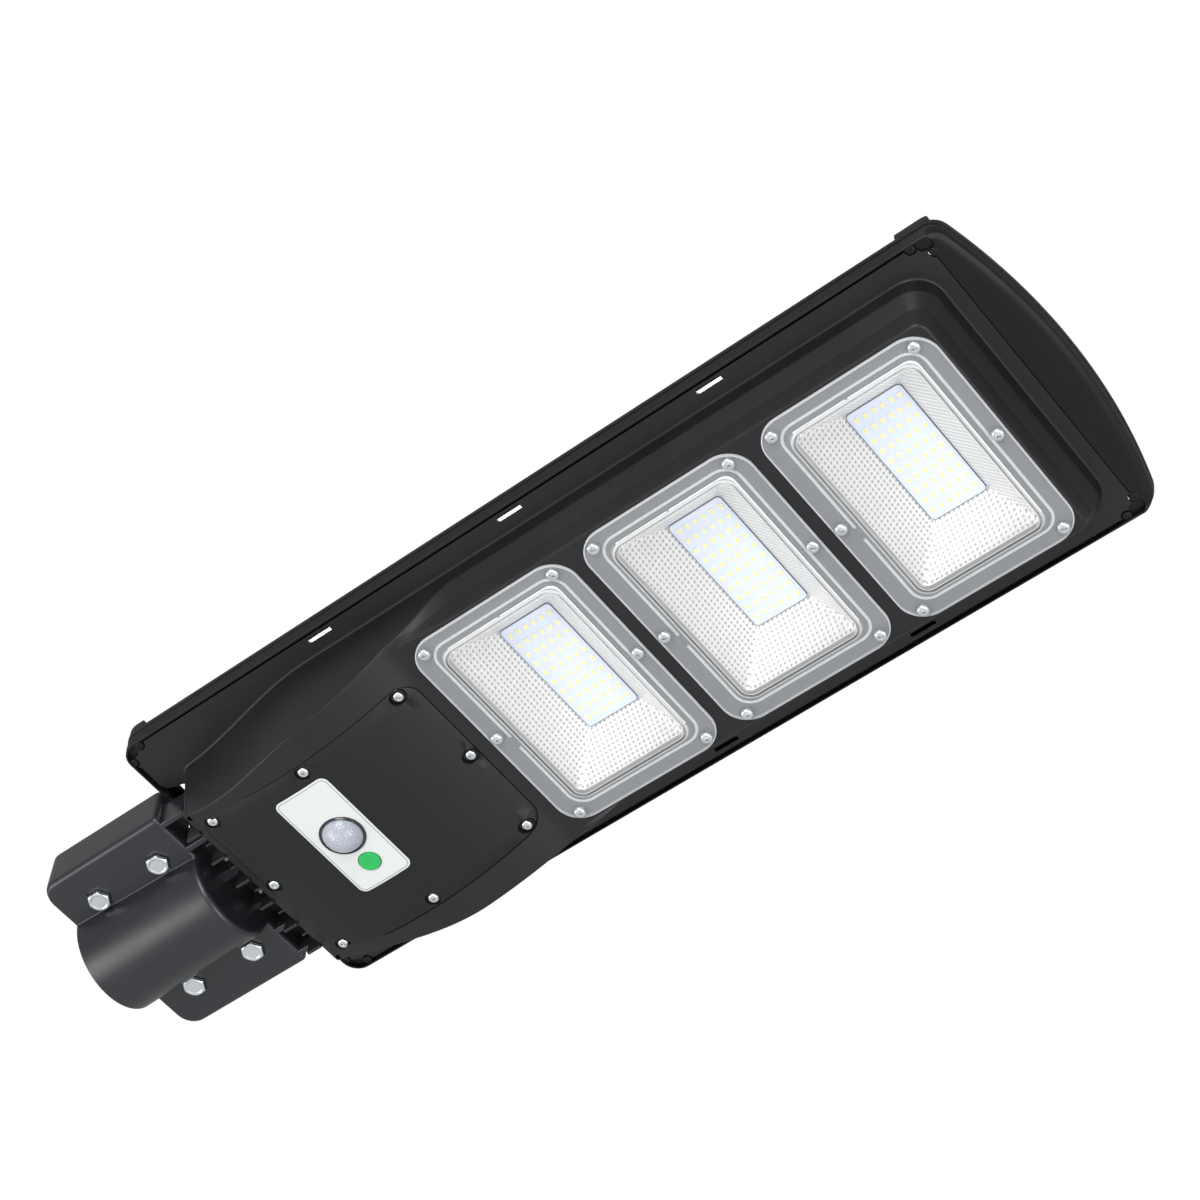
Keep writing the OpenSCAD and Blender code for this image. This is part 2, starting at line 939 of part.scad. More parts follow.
module led_chips(x) {
    color("#f0e2a8")
        for (i = [0 : chip_cols - 1], j = [0 : chip_rows - 1])
            translate([x + (i - (chip_cols - 1) / 2) * chip_px - chip[0] / 2,
                       (j - (chip_rows - 1) / 2) * chip_py - chip[1] / 2,
                       led_z - chip[2]])
                cube(chip);
}

module led_cover_screws() {
    color("#c3c6c8")
        for (p = cover_screws())
            translate([p[0], p[1], cover_z])
                pan_screw(3.8, 2.4, 1.6, 9);
}

module led_board_screws() {
    color("#b9bcbe")
        for (p = board_screws())
            translate([p[0], p[1], led_z])
                pan_screw(2.8, 1.6, 1.25, 4);
}

// ---------- bracket ----------

module bracket_outline(d) {
    open_half = bracket_half - mouth_corner_r;
    round_rect(d, bracket_l - d - 10, bracket_half - d, mouth_corner_r - d);
    round_rect(30, bracket_l - d, bracket_half - d, front_corner_r - d);
    // the mouth stays open between its corners
    if (d > 0)
        translate([-30, -open_half])
            square([60, 2 * open_half]);
}

module hex_head(af, h) {
    cylinder(r = af / sqrt(3), h = h, $fn = 6);
}

// the pole's way into the casting
module pole_bore() {
    translate([-cut, 0, 0])
        rotate([0, 90, 0])
            cylinder(r = pole_r, h = socket_l + cut);
}

// flange and neck of the casting
module bracket_body() {
    color("#232528")
        difference() {
            union() {
                translate([0, 0, lower_face_z])
                    linear_extrude(height = lower_top_z - lower_face_z)
                        bracket_outline(0);
                // neck towards the housing
                translate([bracket_l, -neck_half, lower_face_z])
                    cube([pad_face_x - bracket_l, 2 * neck_half,
                          neck_top_z - lower_face_z]);
            }
            pole_bore();
            // hollow neck between its webs
            for (y = [-61, -38, -7, 24])
                translate([bracket_l - eps, y, lower_face_z - 1])
                    cube([pad_face_x - bracket_l - 4, y == -61 ? 19 : y == 24 ? 15 : 24,
                          neck_top_z - lower_face_z - 3]);
            translate([bracket_l - eps, 43, lower_face_z - 1])
                cube([pad_face_x - bracket_l - 4, 18, neck_top_z - lower_face_z - 3]);
            for (x = bolt_x, s = [-1, 1]) {
                translate([x, s * bolt_y, lower_face_z - 1])
                    hex_head(14.4, bolt_seat_z - lower_face_z + 1);
                translate([x, s * bolt_y, lower_face_z - 1])
                    cylinder(r = bolt_r + 0.25, h = 12);
            }
            for (y = fix_y)
                translate([bracket_l + 4, y, fix_z])
                    rotate([0, 90, 0])
                        cylinder(r = fix_r, h = 30);
        }
}

// round channel of the casting, below its flange
module bracket_barrel() {
    color("#232528")
        difference() {
            intersection() {
                rotate([0, 90, 0])
                    cylinder(r1 = barrel_r0, r2 = barrel_r1, h = bracket_l);
                translate([-1, -60, -60])
                    cube([120, 120, 60 + lower_face_z]);
            }
            pole_bore();
        }
}

module wall_band(x0, x1) {
    intersection() {
        translate([0, 0, lower_top_z])
            linear_extrude(height = skirt_top_z - lower_top_z)
                difference() {
                    bracket_outline(0);
                    bracket_outline(side_t);
                }
        translate([x0, -100, lower_top_z])
            cube([x1 - x0, 200, 60]);
    }
}

// straight side walls of the casting, above its flange
module bracket_sides() {
    color("#232528")
        wall_band(mouth_corner_r, bracket_l - front_corner_r);
}

// front wall and rounded mouth corners of the casting
module bracket_ends() {
    color("#232528")
        union() {
            wall_band(-1, mouth_corner_r);
            wall_band(bracket_l - front_corner_r, bracket_l + 1);
        }
}

module clamp_cap() {
    color("#232528")
        difference() {
            union() {
                translate([0, 0, cap_z])
                    linear_extrude(height = cap_t)
                        round_rect(cap_x0, cap_x1, cap_half, 8);
                intersection() {
                    translate([cap_x0, 0, 0])
                        rotate([0, 90, 0])
                            cylinder(r = 35.6, h = cap_x1 - cap_x0);
                    translate([0, -60, cap_z])
                        cube([120, 120, 60]);
                }
                for (x = [cap_x0, 49])
                    translate([x, -55, cap_z])
                        cube([4, 110, 14]);
            }
            translate([-cut, 0, 0])
                rotate([0, 90, 0])
                    cylinder(r = pole_r, h = 120);
            for (x = bolt_x, s = [-1, 1])
                translate([x, s * bolt_y, 0])
                    cylinder(r = bolt_r + 0.5, h = 30);
        }
}

module clamp_bolts() {
    color("#c9ccce")
        for (x = bolt_x, s = [-1, 1])
            translate([x, s * bolt_y, 0])
                union() {
                    translate([0, 0, bolt_head_z])
                        hex_head(bolt_af, bolt_seat_z - bolt_head_z - 0.02);
                    translate([0, 0, bolt_seat_z - 0.1])
                        cylinder(r = bolt_r, h = bolt_end_z - bolt_seat_z + 0.1);
                }
}

module clamp_washers() {
    color("#c3c6c8")
        for (x = bolt_x, s = [-1, 1])
            translate([x, s * bolt_y, cap_z + cap_t])
                difference() {
                    cylinder(r = 7.6, h = 1.6);
                    translate([0, 0, -1])
                        cylinder(r = bolt_r + 0.4, h = 4);
                }
}

module clamp_nuts() {
    color("#c9ccce")
        for (x = bolt_x, s = [-1, 1])
            translate([x, s * bolt_y, cap_z + cap_t + 1.62])
                difference() {
                    hex_head(bolt_af, 6.5);
                    translate([0, 0, -1])
                        cylinder(r = bolt_r + 0.35, h = 9);
                }
}

module bracket_screws() {
    color("#c3c6c8")
        for (y = fix_y)
            translate([125, y, fix_z])
                rotate([0, -90, 0])
                    pan_screw(4.6, 3, fix_r - 0.02, 20);
}

// ---------- wires ----------

// smooth curve through hand-set points
function bend(p, i, t) =
    let (a = p[max(0, i - 1)], b = p[i], c = p[i + 1], d = p[min(len(p) - 1, i + 2)])
    0.5 * (2 * b + (c - a) * t + (2 * a - 5 * b + 4 * c - d) * t * t
           + (3 * b - a - 3 * c + d) * t * t * t);
function route(p, n) = concat([for (i = [0 : len(p) - 2], k = [0 : n - 1])
    bend(p, i, k / n)], [p[len(p) - 1]]);
function unit(v) = v / norm(v);
function along(q, i) = unit(q[min(len(q) - 1, i + 1)] - q[max(0, i - 1)]);

// every route keeps off the vertical, so one side vector serves all rings
module wire(p, r, side, n = 3) {
    q = route(p, n);
    m = 8;
    pts = [for (i = [0 : len(q) - 1])
        let (t = along(q, i), u = unit(cross(side, t)), v = cross(t, u))
        for (k = [0 : m - 1]) q[i] + r * (cos(45 * k) * u + sin(45 * k) * v)];
    faces = concat([[for (k = [m - 1 : -1 : 0]) k]],
        [[for (k = [0 : m - 1]) (len(q) - 1) * m + k]],
        [for (i = [0 : len(q) - 2], k = [0 : m - 1])
            [i * m + k, i * m + (k + 1) % m, (i + 1) * m + (k + 1) % m, (i + 1) * m + k]]);
    polyhedron(points = pts, faces = faces, convexity = 8);
}

module battery_leads() {
    color("#8c1f1f")
        for (dx = [0, 5])
            wire([[244 + dx, -41.4, 8], [244 + dx, -43, 11], [244 + dx, -45.6, 14],
                  [244 + dx, -48.4, 14.2], [244 + dx, -49, 12]], 1, [1, 0, 0]);
}

module panel_leads() {
    color("#26282a")
        wire([[229, 42.8, 23], [229, 34, 22.6], [229, 0, 22.2], [231, -34, 22],
              [232, -46, 17], [232, -49, 12.3]], 1.3, [1, 0, 0]);
}

module sensor_leads() {
    color("#d8d8d4")
        wire([[209, 17.2, -18], [209, 22, -17.5], [207, 34, -16], [205, 46, -10],
              [203, 47, 8], [203, 44, 20.6], [203, 30, 22.4], [206, -30, 22.2],
              [214, -46, 18], [218, -49, 12.2]], 0.9, [1, 0, 0]);
}

module led_leads() {
    color("#d8d8d4")
        union() {
            wire([[243, -54.2, 9], [248, -60, 9.5], [256, -74, 6], [272, -81, 0],
                  [292, -82, -2], [310, -80, 2], [334, -74, 10],
                  [346, -72, 12.5]], 0.9, [0, 0, 1]);
            for (x = module_xs)
                wire([[x - 10, -74, 12.5], [x - 10, -66, 12.5], [x - 10, -54, 14],
                      [x - 10, -49, 16.1]], 0.8, [1, 0, 0]);
            for (k = [0, 1])
                wire([[module_xs[k] - 10, -74, 12.5], [module_xs[k] + 20, -75, 12.5],
                      [module_xs[k] + 80, -75, 12.5], [module_xs[k + 1] - 10, -74, 12.5]],
                     0.9, [0, 0, 1]);
        }
}

// ---------- parts ----------

top_frame();
corner_pads();
panel_glass();
solar_cells();
panel_backsheet();
panel_seal();
junction_box();
lower_housing();
battery_cover();
battery_gasket();
battery_cover_screws();
battery_cells();
battery_holder();
controller_board();
sensor_board();
pir_sensor();
pir_lens();
pir_ring();
power_button();
button_switch();
button_spring();
panel_label();
led_cover(module_xs[0]);  // led_cover_1
led_cover(module_xs[1]);  // led_cover_2
led_cover(module_xs[2]);  // led_cover_3
cover_seal(module_xs[0]);  // cover_seal_1
cover_seal(module_xs[1]);  // cover_seal_2
cover_seal(module_xs[2]);  // cover_seal_3
reflector(module_xs[0]);  // reflector_1
reflector(module_xs[1]);  // reflector_2
reflector(module_xs[2]);  // reflector_3
led_board(module_xs[0]);  // led_board_1
led_board(module_xs[1]);  // led_board_2
led_board(module_xs[2]);  // led_board_3
led_chips(module_xs[0]);  // led_chips_1
led_chips(module_xs[1]);  // led_chips_2
led_chips(module_xs[2]);  // led_chips_3
led_cover_screws();
led_board_screws();
bracket_body();
bracket_barrel();
bracket_sides();
bracket_ends();
clamp_cap();
clamp_bolts();
clamp_nuts();
clamp_washers();
bracket_screws();
battery_leads();
led_leads();
panel_leads();
sensor_leads();
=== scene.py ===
"""Solar street lamp: the visual model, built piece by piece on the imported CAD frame."""

import logging
import math
import random
from dataclasses import dataclass, field
from enum import Enum
from typing import Callable, Iterable, Optional, Sequence

import bmesh
import bpy
from mathutils import Matrix, Vector
from mathutils.geometry import delaunay_2d_cdt


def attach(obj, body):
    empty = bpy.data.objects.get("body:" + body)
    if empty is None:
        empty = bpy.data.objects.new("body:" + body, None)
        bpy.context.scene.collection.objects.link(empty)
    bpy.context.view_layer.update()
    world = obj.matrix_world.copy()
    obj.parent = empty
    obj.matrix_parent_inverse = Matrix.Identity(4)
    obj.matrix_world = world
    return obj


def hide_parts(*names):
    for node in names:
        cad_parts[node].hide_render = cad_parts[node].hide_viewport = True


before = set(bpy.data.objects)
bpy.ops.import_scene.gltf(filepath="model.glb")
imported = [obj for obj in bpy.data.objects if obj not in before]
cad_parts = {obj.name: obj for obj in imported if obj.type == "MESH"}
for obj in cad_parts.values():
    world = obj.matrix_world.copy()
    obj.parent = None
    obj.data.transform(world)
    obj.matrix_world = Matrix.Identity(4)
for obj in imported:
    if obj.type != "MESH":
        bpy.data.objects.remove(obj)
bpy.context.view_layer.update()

log = logging.getLogger("lamp")
logging.basicConfig(level=logging.INFO, format="%(message)s")

MM = 0.001
GRAZING_POWER = 4.0
Point2 = tuple[float, float]
Point3 = tuple[float, float, float]


class Body(Enum):
    """The moving bodies of the lamp."""

    LAMP = "lamp"
    CLAMP = "clamp"
    BUTTON = "button"


# ---------------------------------------------------------------- materials


def linear(code: str) -> tuple[float, float, float, float]:
    """Turns an sRGB hex colour to linear light.

    Args:
        code: Six hex digits, with or without a leading hash.

    Returns:
        Linear red, green, blue and an alpha of 1.
    """
    code = code.lstrip("#")
    out = []
    for i in (0, 2, 4):
        c = int(code[i : i + 2], 16) / 255
        out.append(c / 12.92 if c <= 0.04045 else ((c + 0.055) / 1.055) ** 2.4)
    return (out[0], out[1], out[2], 1.0)


def add_node(
    tree: bpy.types.NodeTree, kind: str, inputs: Optional[dict] = None, **settings: object
) -> bpy.types.Node:
    """Adds a shader node, sets it up and links it.

    Args:
        tree: The node tree.
        kind: The node's type name.
        inputs: Socket name or number to a value or to an output socket.
        **settings: The node's own properties.

    Returns:
        The new node.
    """
    made = tree.nodes.new(kind)
    for key, value in settings.items():
        setattr(made, key, value)
    for key, value in (inputs or {}).items():
        if isinstance(value, bpy.types.NodeSocket):
            tree.links.new(value, made.inputs[key])
        else:
            made.inputs[key].default_value = value
    return made


@dataclass(frozen=True)
class Finish:
    """A plain procedural finish: two close tones, a fine relief, uneven gloss and, where given,
    convex edges painted lighter as a highlight.

    The fields are the base and second colour, the size in millimetres of the tone
    patches and of the relief's grain, the relief's height in millimetres and the
    shader's usual values.
    """

    name: str
    base: str
    second: str
    patch_mm: float = 25.0
    grain_mm: float = 0.8
    relief_mm: float = 0.01
    rough: float = 0.45
    rough_spread: float = 0.08
    metallic: float = 0.0
    ior: float = 1.5
    specular: float = 0.5
    coat: float = 0.0
    coat_rough: float = 0.1
    subsurface: float = 0.0
    edge_highlight: str = ""

    def build(self) -> bpy.types.Material:
        """Makes the material, or returns the one made before.

        Returns:
            The material.
        """
        found = bpy.data.materials.get(self.name)
        if found:
            return found
        mat = bpy.data.materials.new(self.name)
        mat.use_nodes = True
        tree = mat.node_tree
        shader = tree.nodes["Principled BSDF"]
        for key, value in {
            "Metallic": self.metallic,
            "IOR": self.ior,
            "Specular IOR Level": self.specular,
            "Coat Weight": self.coat,
            "Coat Roughness": self.coat_rough,
            "Subsurface Weight": self.subsurface,
        }.items():
            shader.inputs[key].default_value = value
        if self.subsurface:
            shader.inputs["Subsurface Radius"].default_value = (0.004, 0.003, 0.002)
            shader.inputs["Subsurface Scale"].default_value = 0.5
        self.paint(tree, shader)
        return mat

    def place(self, tree: bpy.types.NodeTree) -> bpy.types.NodeSocket:
        """Gives the coordinates of the pattern, in metres of the lamp's frame."""
        return add_node(tree, "ShaderNodeTexCoord").outputs["Object"]

    def paint(self, tree: bpy.types.NodeTree, shader: bpy.types.Node) -> None:
        """Adds colour, gloss and relief.

        Args:
            tree: The node tree.
            shader: The Principled shader.
        """
        where = self.place(tree)
        patches = add_node(
            tree,
            "ShaderNodeTexNoise",
            {"Vector": where, "Scale": 1000 / self.patch_mm, "Detail": 5.0, "Roughness": 0.6},
        )
        grain = add_node(
            tree,
            "ShaderNodeTexNoise",
            {"Vector": where, "Scale": 1000 / self.grain_mm, "Detail": 3.0, "Roughness": 0.5},
        )
        tone = add_node(
            tree,
            "ShaderNodeMix",
            {"Factor": patches.outputs["Fac"], 6: linear(self.base), 7: linear(self.second)},
            data_type="RGBA",
        )
        colour = tone.outputs[2]
        # painted highlight: the colour is lightened along convex edges
        if self.edge_highlight:
            colour = self.paint_edge_highlight(tree, colour, patches.outputs["Fac"])
        tree.links.new(colour, shader.inputs["Base Color"])
        gloss = add_node(
            tree,
            "ShaderNodeMapRange",
            {
                "Value": patches.outputs["Fac"],
                "From Min": 0.3,
                "From Max": 0.7,
                "To Min": max(0.02, self.rough - self.rough_spread),
                "To Max": min(1.0, self.rough + self.rough_spread),
            },
        )
        tree.links.new(gloss.outputs[0], shader.inputs["Roughness"])
        bump = add_node(
            tree,
            "ShaderNodeBump",
            {"Height": grain.outputs["Fac"], "Strength": 1.0, "Distance": self.relief_mm * MM},
        )
        tree.links.new(bump.outputs[0], shader.inputs["Normal"])

    def paint_edge_highlight(
        self,
        tree: bpy.types.NodeTree,
        colour: bpy.types.NodeSocket,
        patches: bpy.types.NodeSocket,
    ) -> bpy.types.NodeSocket:
        """Paints the convex edges lighter: a painted highlight along the edges.

        Args:
            tree: The node tree.
            colour: The colour so far.
            patches: The noise that breaks the painted highlight up.

        Returns:
            The new colour.
        """
        edge = add_node(
            tree,
            "ShaderNodeMapRange",
            {
                "Value": add_node(tree, "ShaderNodeNewGeometry").outputs["Pointiness"],
                "From Min": 0.52,
                "From Max": 0.62,
            },
        )
        amount = add_node(
            tree,
            "ShaderNodeMath",
            {0: edge.outputs[0], 1: patches},
            operation="MULTIPLY",
        )
        mix = add_node(
            tree, "ShaderNodeMix", {"Factor": amount.outputs[0]}, data_type="RGBA"
        )
        tree.links.new(colour, mix.inputs[6])
        mix.inputs[7].default_value = linear(self.edge_highlight)
        return mix.outputs[2]


@dataclass(frozen=True)
class DimpledReflector(Finish):
    """Metallised plastic pressed with rows of small pillows, one every few millimetres, each
    painted darker towards its crown as shade.
    """

    pitch_mm: float = 3.2
    pillow_mm: float = 0.26

    def paint(self, tree: bpy.types.NodeTree, shader: bpy.types.Node) -> None:
        """Adds the rows of pillows to the finish, each with painted shade towards its crown.

        Args:
            tree: The node tree.
            shader: The Principled shader.
        """
        uv = add_node(tree, "ShaderNodeUVMap", uv_map="mm")
        split = add_node(tree, "ShaderNodeSeparateXYZ", {0: uv.outputs[0]})
        waves = []
        for axis in (0, 1):
            turn = add_node(
                tree,
                "ShaderNodeMath",
                {0: split.outputs[axis], 1: math.pi / self.pitch_mm},
                operation="MULTIPLY",
            )
            wave = add_node(tree, "ShaderNodeMath", {0: turn.outputs[0]}, operation="SINE")
            waves.append(
                add_node(
                    tree,
                    "ShaderNodeMath",
                    {0: wave.outputs[0], 1: wave.outputs[0]},
                    operation="MULTIPLY",
                ).outputs[0]
            )
        pillow = add_node(
            tree, "ShaderNodeMath", {0: waves[0], 1: waves[1]}, operation="MULTIPLY"
        )
        bump = add_node(
            tree,
            "ShaderNodeBump",
            {
                "Height": pillow.outputs[0],
                "Strength": 1.0,
                "Distance": self.pillow_mm * MM,
            },
        )
        # painted shade: the colour darkens towards each pillow's crown, following the relief
        tone = add_node(tree, "ShaderNodeMix", {"Factor": pillow.outputs[0]}, data_type="RGBA")
        tone.inputs[6].default_value = linear(self.base)
        tone.inputs[7].default_value = linear(self.second)
        tree.links.new(tone.outputs[2], shader.inputs["Base Color"])
        tree.links.new(bump.outputs[0], shader.inputs["Normal"])
        shader.inputs["Roughness"].default_value = self.rough


@dataclass(frozen=True)
class ClearSheet(Finish):
    """Clear moulded sheet: light passes, and gloss grows towards grazing angles."""

    haze: float = 0.1

    def build(self) -> bpy.types.Material:
        """Makes the see-through material.

        Returns:
            The material.
        """
        found = bpy.data.materials.get(self.name)
        if found:
            return found
        mat = bpy.data.materials.new(self.name)
        mat.use_nodes = True
        tree = mat.node_tree
        shader = tree.nodes["Principled BSDF"]
        shader.inputs["IOR"].default_value = self.ior
        shader.inputs["Specular IOR Level"].default_value = self.specular
        self.paint(tree, shader)
        facing = add_node(tree, "ShaderNodeLayerWeight", {"Blend": 0.5})
        weight = add_node(
            tree,
            "ShaderNodeMath",
            {0: facing.outputs["Facing"], 1: GRAZING_POWER},
            operation="POWER",
        )
        alpha = add_node(
            tree,
            "ShaderNodeMapRange",
            {
                "Value": weight.outputs[0],
                "From Min": 0.0,
                "From Max": 1.0,
                "To Min": self.haze,
                "To Max": 1.0,
            },
        )
        tree.links.new(alpha.outputs[0], shader.inputs["Alpha"])
        return mat


@dataclass(frozen=True)
class TranslucentFilmWithPaintedGlow(Finish):
    """White film thin enough for daylight from behind to shine through, with a painted glow of its
    own colour added as emission.
    """

    share: float = 0.3
    # strength of the painted glow: emission that stands in for daylight through the film
    painted_glow: float = 1.1

    def paint(self, tree: bpy.types.NodeTree, shader: bpy.types.Node) -> None:
        """Mixes light from behind into the film and adds the painted glow.

        Args:
            tree: The node tree.
            shader: The Principled shader.
        """
        Finish.paint(self, tree, shader)
        glow = add_node(tree, "ShaderNodeBsdfTranslucent", {"Color": linear(self.base)})
        # painted glow: the film emits light of its own colour, standing in for daylight from behind
        shader.inputs["Emission Color"].default_value = linear(self.base)
        shader.inputs["Emission Strength"].default_value = self.painted_glow
        both = add_node(
            tree,
            "ShaderNodeMixShader",
            {0: self.share, 1: shader.outputs[0], 2: glow.outputs[0]},
        )
        tree.links.new(both.outputs[0], tree.nodes["Material Output"].inputs[0])


@dataclass(frozen=True)
class SolarCells(Finish):
    """Etched blue silicon with printed silver fingers and two wide bars a cell."""

    silver: str = "#8f959c"

    def paint(self, tree: bpy.types.NodeTree, shader: bpy.types.Node) -> None:
        """Adds the fingers and bars.

        Args:
            tree: The node tree.
            shader: The Principled shader.
        """
        Finish.paint(self, tree, shader)
        where = self.place(tree)
        split = add_node(tree, "ShaderNodeSeparateXYZ", {0: where})
        lines = []
        for axis, pitch, width in ((1, 2.4, 0.12), (0, 17.0, 0.07)):
            scaled = add_node(
                tree,
                "ShaderNodeMath",
                {0: split.outputs[axis], 1: 1000 / pitch},
                operation="MULTIPLY",
            )
            part = add_node(
                tree, "ShaderNodeMath", {0: scaled.outputs[0]}, operation="FRACT"
            )
            lines.append(
                add_node(
                    tree,
                    "ShaderNodeMath",
                    {0: part.outputs[0], 1: width},
                    operation="LESS_THAN",
                ).outputs[0]
            )
        either = add_node(
            tree, "ShaderNodeMath", {0: lines[0], 1: lines[1]}, operation="MAXIMUM"
        )
        mix = add_node(
            tree, "ShaderNodeMix", {"Factor": either.outputs[0]}, data_type="RGBA"
        )
        tree.links.new(shader.inputs["Base Color"].links[0].from_socket, mix.inputs[6])
        mix.inputs[7].default_value = linear(self.silver)
        tree.links.new(mix.outputs[2], shader.inputs["Base Color"])


# ABS, injection moulded with a fine spark texture: deep black with a soft, broad sheen, its convex
# edges painted lighter as a highlight
HOUSING = Finish(
    "abs_spark_textured", "#121214", "#161618", 40, 0.9, 0.020, 0.42, 0.05, specular=0.4,
    edge_highlight="#1d1d20"
)
# ABS, injection moulded, the same resin from a smoother tool: its convex edges painted lighter as a
# highlight
FRAME = Finish(
    "abs_satin_moulded", "#08080a", "#0b0b0d", 45, 1.1, 0.014, 0.46, 0.05, specular=0.28,
    edge_highlight="#222326"
)
# ABS, moulded lid: a finer texture that reads a little flatter
LID = Finish(
    "abs_fine_textured", "#080809", "#0b0b0c", 30, 0.8, 0.022, 0.48, 0.05, specular=0.4
)
# Aluminium, die cast and powder coated: a shallow orange peel and a silky sheen, its convex edges
# painted lighter as a highlight
CAST = Finish(
    "cast_aluminium_powder_coated",
    "#18191c",
    "#1d1e22",
    30,
    1.6,
    0.030,
    0.36,
    0.05,
    coat=0.15,
    coat_rough=0.3,
    edge_highlight="#2b2c30",
)
# Steel, zinc plated and clear passivated: bright, faintly clouded
ZINC = Finish(
    "steel_zinc_plated", "#eceeef", "#d4d7d9", 5, 0.5, 0.006, 0.34, 0.08, metallic=1.0
)
# Polycarbonate, moulded clear: the optical window, nearly invisible but for its gloss
WINDOW = ClearSheet(
    "polycarbonate_clear_window", "#f2f4f5", "#e8ebed", 30, 2.0, 0.004, 0.06, 0.02,
    ior=1.5, haze=0.04
)
# Polycarbonate, moulded with an etched face: the screw flange looks milky grey
FLANGE = ClearSheet(
    "polycarbonate_etched_flange", "#c9cbcd", "#bfc1c4", 30, 2.0, 0.004, 0.2, 0.05,
    ior=1.5, haze=0.24
)
# The same sheet where it turns or ends: its edge gathers light and looks white
EDGE = ClearSheet(
    "polycarbonate_bright_edge", "#f2f3f4", "#e8eaec", 30, 2.0, 0.004, 0.25, 0.05,
    ior=1.5, haze=0.5
)
# Silicone rubber, extruded cord: soft white with a little light inside
SILICONE = Finish(
    "silicone_extruded_cord", "#f4f4f2", "#ececea", 8, 0.6, 0.01, 0.45, 0.05, subsurface=0.2
)
# ABS, vacuum metallised: silver pillows that sparkle one by one, each painted darker towards its
# crown as shade
REFLECTOR = DimpledReflector(
    "abs_vacuum_metallised", "#f8f7f6", "#a3a2a0", rough=0.36, metallic=0.6
)
# Aluminium-core board with white solder mask: cool white, slightly glossy
BOARD = Finish(
    "board_white_solder_mask", "#dfe6f6", "#d5ddf0", 10, 0.5, 0.004, 0.35, 0.05, coat=0.3
)
# Ceramic-filled resin frame of a chip, moulded
CHIP_FRAME = Finish("resin_chip_frame", "#f6f5e6", "#efeee0", 3, 0.4, 0.004, 0.4, 0.05)
# Silicone with phosphor, dispensed: pale yellow drops
PHOSPHOR = Finish(
    "silicone_phosphor", "#f6f2b4", "#f0eaa2", 2, 0.3, 0.004, 0.3, 0.05, subsurface=0.1
)
# Polyester film, printed and laminated: greenish white under a low gloss
LABEL = Finish(
    "polyester_film_printed", "#cfd1cf", "#caccca", 20, 0.5, 0.004, 0.4, 0.05, coat=0.2
)
# Ink line printed round the film's edge
LABEL_LINE = Finish("ink_printed_line", "#8fa093", "#879a8c", 20, 0.5, 0.002, 0.45, 0.05)
# Polyethylene, moulded with small lens cells: bluish white and cloudy
LENS = Finish(
    "polyethylene_moulded_lens",
    "#9ca1ac",
    "#adb1b9",
    5,
    0.8,
    0.02,
    0.25,
    0.08,
    coat=0.4,
    subsurface=0.35,
)
# ABS, polished tool: the dark glossy ring round the lens
RING = Finish("abs_polished", "#1c1d22", "#23242a", 20, 0.6, 0.004, 0.22, 0.05, coat=0.3)
# Polycarbonate, moulded translucent green: the push button's cap
GREEN = Finish(
    "polycarbonate_green",
    "#14a249",
    "#1bb155",
    6,
    0.6,
    0.006,
    0.28,
    0.05,
    coat=0.3,
    subsurface=0.15,
)
# EPDM rubber, moulded: matt pads, gasket and seals
RUBBER = Finish("epdm_rubber_moulded", "#151516", "#1c1c1d", 15, 0.7, 0.03, 0.75, 0.08)
# Open bore seen from outside: no light comes back out of it
HOLE = Finish("bore_in_shade", "#020202", "#030303", 10, 1.0, 0.004, 0.9, 0.05, specular=0.0)
# Polyurethane bead, dispensed round the panel
SEALANT = Finish("polyurethane_bead", "#131314", "#19191a", 8, 1.5, 0.08, 0.5, 0.1)
# Soda-lime glass, tempered and slightly patterned
GLASS = ClearSheet(
    "glass_tempered", "#1a2028", "#20262e", 40, 1.4, 0.012, 0.08, 0.02, ior=1.52, haze=0.05
)
# Monocrystalline silicon, etched and coated: dark blue with silver fingers
SILICON = SolarCells("silicon_etched", "#0d1730", "#121e3c", 18, 0.5, 0.004, 0.3, 0.05)
# Polyester backsheet, extruded film: plain bright white, with a painted glow as emission
BACKSHEET = TranslucentFilmWithPaintedGlow(
    "polyester_backsheet", "#f4f5f4", "#edeeed", 30, 1.0, 0.008, 0.5, 0.05
)
# Glass-epoxy board under green solder mask
GREEN_BOARD = Finish(
    "epoxy_green_solder_mask", "#14532d", "#1a6338", 9, 0.5, 0.006, 0.35, 0.06, coat=0.3
)
# Polyvinyl shrink film on the cells: glossy blue with faint wrinkles
SHRINK = Finish("shrink_film_blue", "#2a6f9e", "#235f8a", 12, 4.0, 0.05, 0.25, 0.05, coat=0.3)
# Nylon, moulded: the inner carriers and boxes
NYLON = Finish("nylon_moulded_black", "#1b1c1e", "#232427", 20, 0.8, 0.02, 0.5, 0.06)
# Tinned steel, drawn: the sensor can
TIN = Finish("steel_tinned", "#c9ccce", "#b7babd", 5, 0.6, 0.004, 0.22, 0.06, metallic=1.0)
# Spring steel wire, cold drawn
WIRE = Finish("spring_steel_drawn", "#a7abaf", "#8f9397", 4, 0.4, 0.006, 0.3, 0.08, metallic=1.0)
# Polyvinyl sleeves of the inner wires, extruded
RED_SLEEVE = Finish("pvc_sleeve_red", "#8e1c1c", "#7c1717", 10, 1.0, 0.01, 0.4, 0.05)
BLACK_SLEEVE = Finish("pvc_sleeve_black", "#17181a", "#1e1f21", 10, 1.0, 0.01, 0.4, 0.05)
WHITE_SLEEVE = Finish("pvc_sleeve_white", "#dcdcd8", "#d2d2cd", 10, 1.0, 0.01, 0.4, 0.05)


# ---------------------------------------------------------------- mesh helpers


